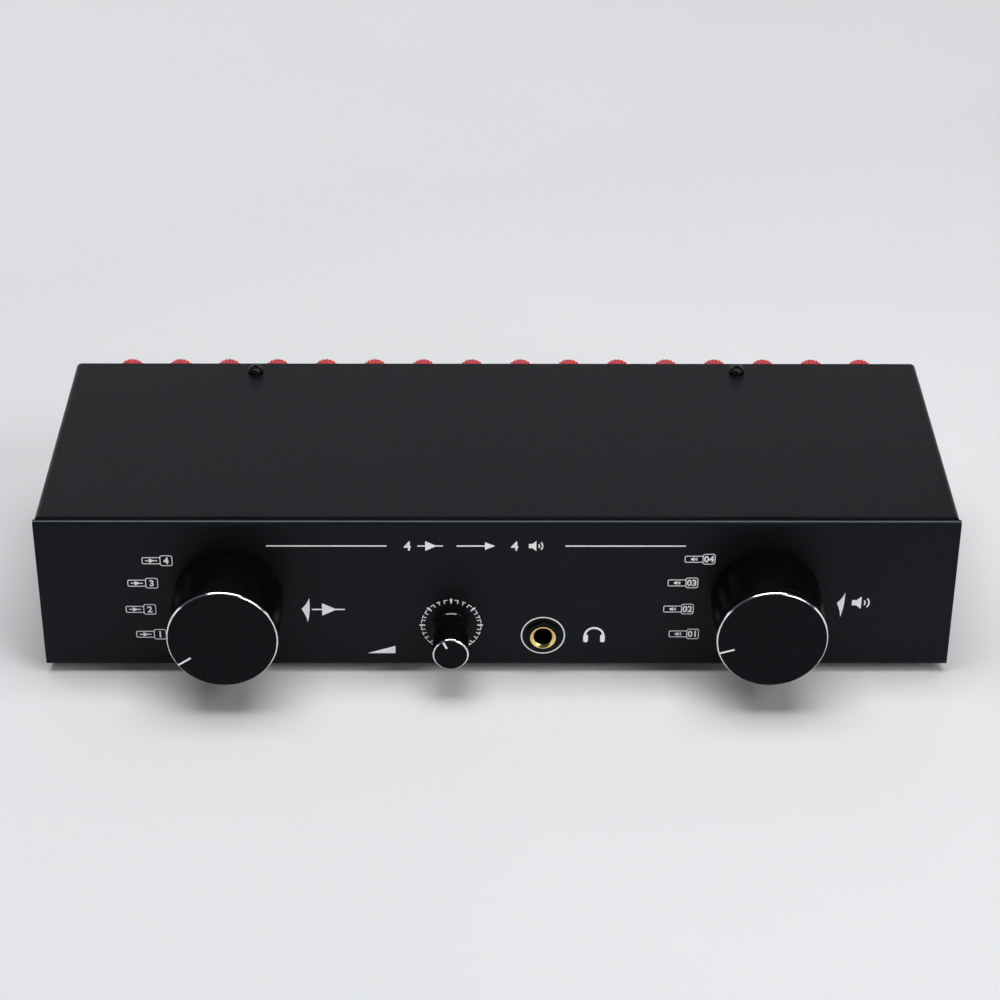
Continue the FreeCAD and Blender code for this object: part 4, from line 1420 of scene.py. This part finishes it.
@dataclass
class PanelMarks:
    """Everything printed on the front panel; heights are measured from the case's bottom edge."""

    selectors: Sequence[SelectorMarks] = field(default_factory=lambda: (
        SelectorMarks(
            "input_marks", Marking.AMPLIFIER,
            (("1", (-115.1, 12.7)), ("2", (-118.0, 22.9)), ("3", (-116.7, 33.5)),
             ("4", (-111.3, 42.5))),
            ((-66.5, 23.1), (-63.8, 27.5), (-64.5, 17.7)), (-57.5, 22.9)),
        SelectorMarks(
            "output_marks", Marking.LOUDSPEAKER,
            (("01", (66.9, 12.9)), ("02", (64.7, 23.1)), ("03", (65.8, 33.7)),
             ("04", (71.2, 43.2))),
            ((115.4, 25.6), (118.0, 29.8), (116.9, 19.9)), (123.4, 25.7))))
    jack_ring_radius: float = 7.55
    jack_ring_line: float = 0.42
    headphones_gap: Point = (17.5, 0.2)
    headphones_height: float = 6.4
    headphones_line: float = 0.75
    headline_height: float = 48.4
    headline: tuple[float, float] = (-77.5, 63.2)
    headline_gap: float = 30.0
    headline_line: float = 0.45
    figure_height: float = 3.6
    figure_weight: float = 0.015
    # Places of the signs along the headline from its middle, and the arrow between them: the ends
    # of its shaft, then the base and the tip of its head.
    figures: tuple[float, float] = (-23.0, 13.0)
    amplifier: float = -15.5
    amplifier_height: float = 3.8
    amplifier_line: float = 0.42
    loudspeaker: float = 20.0
    loudspeaker_height: float = 4.0
    loudspeaker_line: float = 0.45
    arrow: tuple[float, float, float, float] = (-6.5, 3.5, 3.0, 6.4)
    arrow_line: float = 0.5
    arrow_half: float = 1.5

    def build(self) -> None:
        """Print all the marks."""
        tray = Extent.of("chassis_tray")
        front, bottom = tray.low.y, tray.low.z
        for selector in self.selectors:
            selector.build(front, bottom)
        VolumeScale().build(front, Extent.of("volume_pot_shaft").axis)
        x, z = Extent.of("jack_bush").axis
        ink = PanelPrint(front)
        ink.ring((x, z), self.jack_ring_radius, self.jack_ring_line)
        ink.pictogram(Marking.HEADPHONES, (x + self.headphones_gap[0], z + self.headphones_gap[1]),
                      self.headphones_height, self.headphones_line)
        ink.done("jack_marks")
        self._headline(front, self.headline_height + bottom)

    def _headline(self, front: float, z: float) -> None:
        """Print the line of plain signs over the controls: four inputs lead to four outputs.

        Args:
            front: Place of the panel's front along Y.
            z: Height of the line.
        """
        ink = PanelPrint(front)
        left, right = self.headline
        middle = (left + right) / 2

        def at(across: float, up: float = 0.0) -> Point:
            """Place on the panel by its distance from the middle of the line."""
            return middle + across, z + up

        for across in self.figures:
            ink.figures("4", at(across), self.figure_height, self.figure_weight)
        ink.pictogram(Marking.AMPLIFIER, at(self.amplifier), self.amplifier_height,
                      self.amplifier_line)
        tail, front_end, base, tip = self.arrow
        ink.rule(at(tail), at(front_end), self.arrow_line)
        ink.shape([at(base, self.arrow_half), at(tip), at(base, -self.arrow_half)])
        ink.pictogram(Marking.LOUDSPEAKER, at(self.loudspeaker), self.loudspeaker_height,
                      self.loudspeaker_line)
        ink.rule((left, z), at(-self.headline_gap), self.headline_line)
        ink.rule(at(self.headline_gap), (right, z), self.headline_line)
        ink.done("headline_marks")


# ---- Headphone jack ------------------------------------------------------------------------------


@dataclass
class HeadphoneJack:
    """Gold bush with a dark throat, its nut and its body."""

    bore_radius: float = 3.2
    rim_roll: float = 0.12
    roll_share: float = 0.3
    mouth_depth: float = 0.6
    throat_depth: float = 2.9
    nut_edge: float = 0.3
    body_edge: float = 0.15
    segments: int = 96
    smooth_below: float = 22

    def build(self) -> None:
        """Build the bush and its lining, and finish the nut and the body."""
        bush = Extent.of("jack_bush")
        outer, bore, rear = bush.half(0), self.bore_radius, bush.high.y
        rim, roll = bush.low.y, self.rim_roll
        shoulder = roll * self.roll_share
        crest = rim + shoulder
        work = Workpiece()
        turned(work, bush.axis, [
            Station(outer, rear), Station(outer, rim + roll), Station(outer - shoulder, crest),
            Station(outer - roll, rim), Station(outer - 2 * roll, crest),
            Station(bore + roll, rim + self.mouth_depth),
            Station(bore, rim + self.mouth_depth + roll),
            Station(bore, rim + self.throat_depth, JACK_LINING), Station(bore, rear),
        ], GOLD, self.segments)
        piece = work.done("jack_bush_polished", self.smooth_below)
        hand_over(piece, CASE_BODY, "jack_bush")
        softened("jack_nut", JACK_LINING, self.nut_edge)
        softened("jack_body", JACK_LINING, self.body_edge)


# ---- Binding posts -------------------------------------------------------------------------------


@dataclass
class BindingPosts:
    """Ribbed screw caps, collars and threaded studs of both rows."""

    columns: int
    rib_count: int = 22
    rib_radius: float = 0.34
    rib_steps: int = 4
    rib_tip: float = 0.3
    # Gap between the skirt and the ribs, and where these start to fall and how long they fall, in
    # shares of the nose bevel.
    rib_gap: float = 0.2
    rib_end: float = 1.15
    rib_fall: float = 0.55
    core_inset: float = 0.36
    nose_bevel: float = 1.0
    nose_turn: float = 0.3
    skirt: float = 0.8
    skirt_slope: float = 0.3
    skirt_inset: float = 0.05
    mouth_bevel: float = 0.15
    socket_radius: float = 2.2
    socket_depth: float = 11.7
    dimple_radius: float = 2.6
    dimple_slope: float = 0.4
    dimple_depth: float = 0.35
    stud_radius: float = 2.0
    stud_bevel: float = 0.3
    thread_pitch: float = 0.7
    thread_ridge: float = 0.2
    ridge_sunk: float = 0.9
    thread_end: float = 0.5
    turn_step: float = 17.0
    collar_edge: float = 0.35
    segments: int = 44
    stud_segments: int = 20

    def build(self) -> None:
        """Build every cap on its own body, then the collars and the studs."""
        first = Extent.of("red_cap_01")
        length = first.high.y - first.low.y
        numbers = range(1, self.columns + 1)
        radius = max(Extent.of(f"red_cap_{number:02d}").half(2) for number in numbers)
        for row, plastic in PLASTICS.items():
            template = self._cap(plastic, radius, length)
            for number in numbers:
                self._place_cap(template, row, number)
            bpy.data.meshes.remove(template)
            softened(f"{row.value}_post_collars", plastic, self.collar_edge, 3)
        self._studs()

    def _cap(self, plastic: Finish, radius: float, length: float) -> bpy.types.Mesh:
        """One ribbed cap at the origin, with its mouth at y 0 and in metres.

        Args:
            plastic: Finish of the cap.
            radius: Radius over the ribs.
            length: Length of the cap.

        Returns:
            The cap's mesh.
        """
        core, brim = radius - self.core_inset, radius - self.skirt_inset
        bevel, dimple = self.nose_bevel, length - self.dimple_depth
        turn = bevel * self.nose_turn
        work = Workpiece()
        turned(work, (0, 0), [
            Station(0, dimple), Station(self.dimple_radius - self.dimple_slope, dimple),
            Station(self.dimple_radius, length), Station(core - bevel, length),
            Station(core - turn, length - turn), Station(core, length - bevel),
            Station(core, self.skirt + self.skirt_slope), Station(brim, self.skirt),
            Station(brim, self.mouth_bevel), Station(brim - self.mouth_bevel, 0),
            Station(self.socket_radius, 0), Station(self.socket_radius, self.socket_depth),
            Station(0, self.socket_depth),
        ], plastic, self.segments)
        rib = stand("rib", self._rib(plastic, length))
        ribs = ring_pattern().bake(rib, Count=self.rib_count, Radius=radius - self.rib_radius,
                                   Step=FULL_TURN / self.rib_count, Material=plastic.material)
        work.take(ribs, Matrix.Identity(4), plastic)
        cap = work.done("cap_template")
        mesh = cap.data
        bpy.data.objects.remove(cap)
        return mesh

    def _rib(self, plastic: Finish, length: float) -> bpy.types.Mesh:
        """One rib of a cap, lying along Y over the origin.

        Args:
            plastic: Finish of the rib.
            length: Length of the cap.

        Returns:
            The rib.
        """
        outline = arc((0, 0), self.rib_radius, -90, 90, self.rib_steps)
        start, end = self.skirt + self.rib_gap, length - self.nose_bevel * self.rib_end
        rib = Workpiece()
        front, rear = (rib.loop([(x, y, z) for x, z in outline]) for y in (start, end))
        nose = end + self.nose_bevel * self.rib_fall
        tip = rib.loop([(x * self.rib_tip, nose, z - self.rib_radius) for x, z in outline])
        rib.bridge(front, rear, plastic)
        rib.bridge(rear, tip, plastic)
        rib.face(front, plastic)
        rib.face(tip, plastic)
        bmesh.ops.recalc_face_normals(rib.mesh, faces=rib.mesh.faces[:])
        return rib.to_mesh("rib")

    def _place_cap(self, template: bpy.types.Mesh, row: PostRow, number: int) -> None:
        """Stand a copy of the template in for one packed cap.

        Args:
            template: The cap's mesh at the origin, in metres.
            row: The row that the cap belongs to.
            number: Its number in the row, from 1.
        """
        node = f"{row.value}_cap_{number:02d}"
        low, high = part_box(node)
        centre = (low + high) / 2
        mesh = template.copy()
        mesh.transform(Matrix.Translation((centre.x, low.y, centre.z))
                       @ Matrix.Rotation(math.radians(number * self.turn_step), 4, "Y"))
        piece = stand(f"{node}_ribbed", mesh)
        hand_over(piece, f"{row.value}_screw_cap_{number:02d}", node)

    def _studs(self) -> None:
        """Build the threaded studs of both rows as one piece."""
        studs, collars = Extent.of("post_studs"), Extent.of("red_post_collars")
        first, second = (Extent.of(f"red_cap_{number:02d}").centre for number in (1, 2))
        head = studs.high.z - Extent.of("red_cap_04").centre.z
        core = self.stud_radius - self.thread_ridge
        length = studs.high.y - self.thread_end - collars.high.y
        row = row_pattern()
        work = Workpiece()
        for colour in PostRow:
            height = Extent.of(f"{colour.value}_cap_04").centre.z
            stud = Workpiece()
            turned(stud, (0, 0), [
                Station(0, studs.low.y), Station(head, studs.low.y), Station(head, collars.low.y),
                Station(core, collars.low.y), Station(core, studs.high.y - self.stud_bevel),
                Station(core - self.stud_bevel, studs.high.y), Station(0, studs.high.y),
            ], GOLD, self.stud_segments)
            threaded = thread_pattern().bake(
                stud.done("stud_core"), Length=length * MM, Turns=length / self.thread_pitch,
                Radius=(self.stud_radius - self.thread_ridge * self.ridge_sunk) * MM,
                Ridge=self.thread_ridge * MM, Material=GOLD.material)
            line = row.bake(stand("stud", threaded), Count=self.columns,
                            First=Vector((first.x, 0, height)) * MM,
                            Step=Vector((second.x - first.x, 0, 0)) * MM, Material=GOLD.material)
            work.take(line, Matrix.Scale(1 / MM, 4), GOLD)
        piece = work.done("post_studs_threaded")
        hand_over(piece, CASE_BODY, "post_studs")


# ---- Working parts inside ------------------------------------------------------------------------


@dataclass
class PanelWashers:
    """Flat washers under the nuts of the three controls."""

    thickness: float = 0.5
    edge_roll: float = 0.06
    segments: int = 96
    fits: Sequence[tuple[str, float, float]] = (
        ("input_switch_shaft", 4.6, 8.6), ("output_switch_shaft", 4.6, 8.6),
        ("volume_pot_shaft", 3.6, 5.2))

    def build(self) -> None:
        """Lay one washer on the panel round each control's bush."""
        panel, roll = Extent.of("chassis_tray").low.y, self.edge_roll
        front = panel - self.thickness
        work = Workpiece()
        for shaft, inner, outer in self.fits:
            turned(work, Extent.of(shaft).axis, [
                Station(inner, front), Station(outer - roll, front), Station(outer, front + roll),
                Station(outer, panel), Station(inner, panel),
            ], ZINC, self.segments)
        piece = work.done("panel_washers")
        hand_over(piece, CASE_BODY)


@dataclass
class Inside:
    """Switches, potentiometer, board and wiring."""

    edge: float = 0.2
    softened_nodes: Sequence[tuple[str, Finish, str]] = (
        ("input_switch_housing", ZINC, "plated_steel"),
        ("output_switch_housing", ZINC, "plated_steel"),
        ("volume_pot_body", ZINC, "plated_steel"),
        ("control_nuts", DULL_ZINC, "plated_steel"),
        ("terminal_board", BOARD, "board"),
    )
    plain_nodes: Sequence[tuple[str, Finish]] = (
        ("input_switch_shaft", STEEL), ("input_switch_rotor", PHENOLIC),
        ("input_knob_grub_screw", BLACK_OXIDE), ("output_switch_shaft", STEEL),
        ("output_switch_rotor", PHENOLIC), ("output_knob_grub_screw", BLACK_OXIDE),
        ("volume_pot_shaft", STEEL), ("switch_wafers", PHENOLIC), ("wiring_ribbons", RIBBON),
    )

    def build(self) -> None:
        """Finish every inner node."""
        for node, finish, slot in self.softened_nodes:
            softened(node, finish, self.edge)
        for node, finish in self.plain_nodes:
            dress(node, finish)


# ---- Studio --------------------------------------------------------------------------------------


@dataclass
class Lamp:
    """A soft rectangular lamp; its places and sizes are in metres and its power in watts."""

    name: str
    place: Triple
    aim: Triple
    width: float
    height: float
    power: float
    colour: Colour = (1, 1, 1)

    def build(self) -> None:
        """Hang the lamp and point it at its aim."""
        data = bpy.data.lights.new(self.name, "AREA")
        data.shape = "RECTANGLE"
        data.size, data.size_y = self.width, self.height
        data.energy = self.power
        data.color = self.colour
        lamp = stand(self.name, data)
        lamp.location = self.place
        direction = Vector(self.aim) - Vector(self.place)
        lamp.rotation_euler = direction.to_track_quat("-Z", "Y").to_euler()


@dataclass
class Studio:
    """Pale floor with a low glowing wall round it, soft lamps and the camera."""

    camera_place: Triple = (-4.32, -796.02, 521.59)
    yaw: float = 0.395
    pitch: float = 31.245
    roll: float = 0.237
    lens: float = 94.68
    sensor: float = 36.0
    clip: Point = (0.01, 50)
    floor_radius: float = 2.4
    floor_steps: int = 96
    fillet: float = 0.5
    fillet_steps: int = 8
    wall_height: float = 0.75
    wall_glow: float = 0.5
    glow_from: float = 0.9
    brightest: Point = (300, -500)
    floor_dark: Colour = (0.72, 0.73, 0.74)
    floor_light: Colour = (0.76, 0.77, 0.78)
    world: Colour = (0.055, 0.06, 0.07)
    lamps: Sequence[Lamp] = (
        Lamp("overhead_lamp", (0.0, -0.05, 1.45), (0, -0.02, 0.03), 1.4, 0.9, 19),
        Lamp("rear_lamp", (-0.35, 1.9, 1.12), (0, 0, 0.05), 2.6, 1.4, 4.8, (0.94, 0.97, 1.0)),
        Lamp("key_lamp", (1.1, -0.95, 1.2), (0, 0, 0.03), 1.0, 0.5, 8),
        Lamp("side_lamp", (1.3, -1.3, 0.8), (0.1, 0, 0.03), 1.0, 0.5, 5),
    )

    def build(self) -> None:
        """Set the stage."""
        scene = bpy.context.scene
        scene.view_settings.view_transform = "Standard"
        self._floor()
        for lamp in self.lamps:
            lamp.build()
        world = bpy.data.worlds.new("studio_world")
        world.use_nodes = True
        world.node_tree.nodes["Background"].inputs["Color"].default_value = (*self.world, 1)
        scene.world = world
        scene.camera = self._camera()

    def _floor(self) -> None:
        """Lay the round floor and stand the wall round it."""
        section = [(self.floor_radius + self.fillet * math.sin(turn),
                    self.fillet * (1 - math.cos(turn)))
                   for turn in (math.pi / 2 * step / self.fillet_steps
                                for step in range(self.fillet_steps + 1))]
        section.append((self.floor_radius + self.fillet, self.wall_height))
        work = bmesh.new()
        rings = [[work.verts.new((radius * math.cos(turn), radius * math.sin(turn), height))
                  for turn in circle(self.floor_steps)] for radius, height in section]
        work.faces.new(rings[0])
        for inner, outer in zip(rings, rings[1:]):
            for index in range(self.floor_steps):
                after = (index + 1) % self.floor_steps
                wall = work.faces.new((inner[index], outer[index], outer[after], inner[after]))
                wall.smooth = True
        mesh = bpy.data.meshes.new("floor")
        work.to_mesh(mesh)
        work.free()
        mesh.materials.append(self._paper())
        stand("floor", mesh)

    def _paper(self) -> bpy.types.Material:
        """Matt paper that glows more and more away from where the lamps make it brightest.

        Returns:
            The material.
        """
        shader = Shader("studio_paper", Specular_IOR_Level=0.1, Emission_Color=(1, 1, 1, 1))
        shader.colour(Texture(160), self.floor_dark, self.floor_light)
        shader.map_to("Roughness", shader.pattern(Texture(20)), To_Min=0.85, To_Max=0.95)
        shader.centre_on(*self.brightest, 0)
        distance = shader.add("ShaderNodeVectorMath", {0: shader.coordinates}, operation="LENGTH")
        shader.map_to("Emission Strength", distance.outputs["Value"], From_Min=self.glow_from,
                      From_Max=self.floor_radius, To_Max=self.wall_glow)
        return shader.material

    def _camera(self) -> bpy.types.Object:
        """Place the camera.

        Returns:
            The camera.
        """
        data = bpy.data.cameras.new("camera")
        data.lens = self.lens
        data.sensor_width = self.sensor
        data.clip_start, data.clip_end = self.clip
        camera = stand("camera", data)
        camera.location = Vector(self.camera_place) * MM
        camera.rotation_mode = "XYZ"
        level = Euler((math.radians(90 - self.pitch), 0, -math.radians(self.yaw)), "XYZ")
        rolled = level.to_matrix() @ Matrix.Rotation(math.radians(self.roll), 3, "Z")
        camera.rotation_euler = rolled.to_euler("XYZ")
        return camera


# ---- The whole switch ----------------------------------------------------------------------------


def main() -> None:
    """Load the frame and build every piece round it."""
    logging.basicConfig(level=logging.INFO, format="%(name)s: %(message)s")
    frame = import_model()
    columns = sum(joint["name"].startswith(PostRow.RED.value) for joint in frame["joints"])
    pieces = (
        Studio(),
        Case(),
        Knob("input_knob", "input_switch_rotor", "input_selector", 236.3),
        Knob("output_knob", "output_switch_rotor", "output_selector", 253.0),
        Knob("volume_knob", "volume_pot_shaft", "volume_control", -26.0, bevel=0.42,
             bevel_depth=0.5, groove_width=0, rear_bead=0.17, wall_shine=0.06,
             recess_radius=4.4, recess_depth=4.0, bore_depth=13.0,
             pointer_length=2.7, pointer_width=0.7, segments=128),
        PanelMarks(),
        HeadphoneJack(),
        PanelWashers(),
        BindingPosts(columns),
        Inside(),
    )
    for piece in pieces:
        piece.build()


if __name__ == "__main__":
    main()
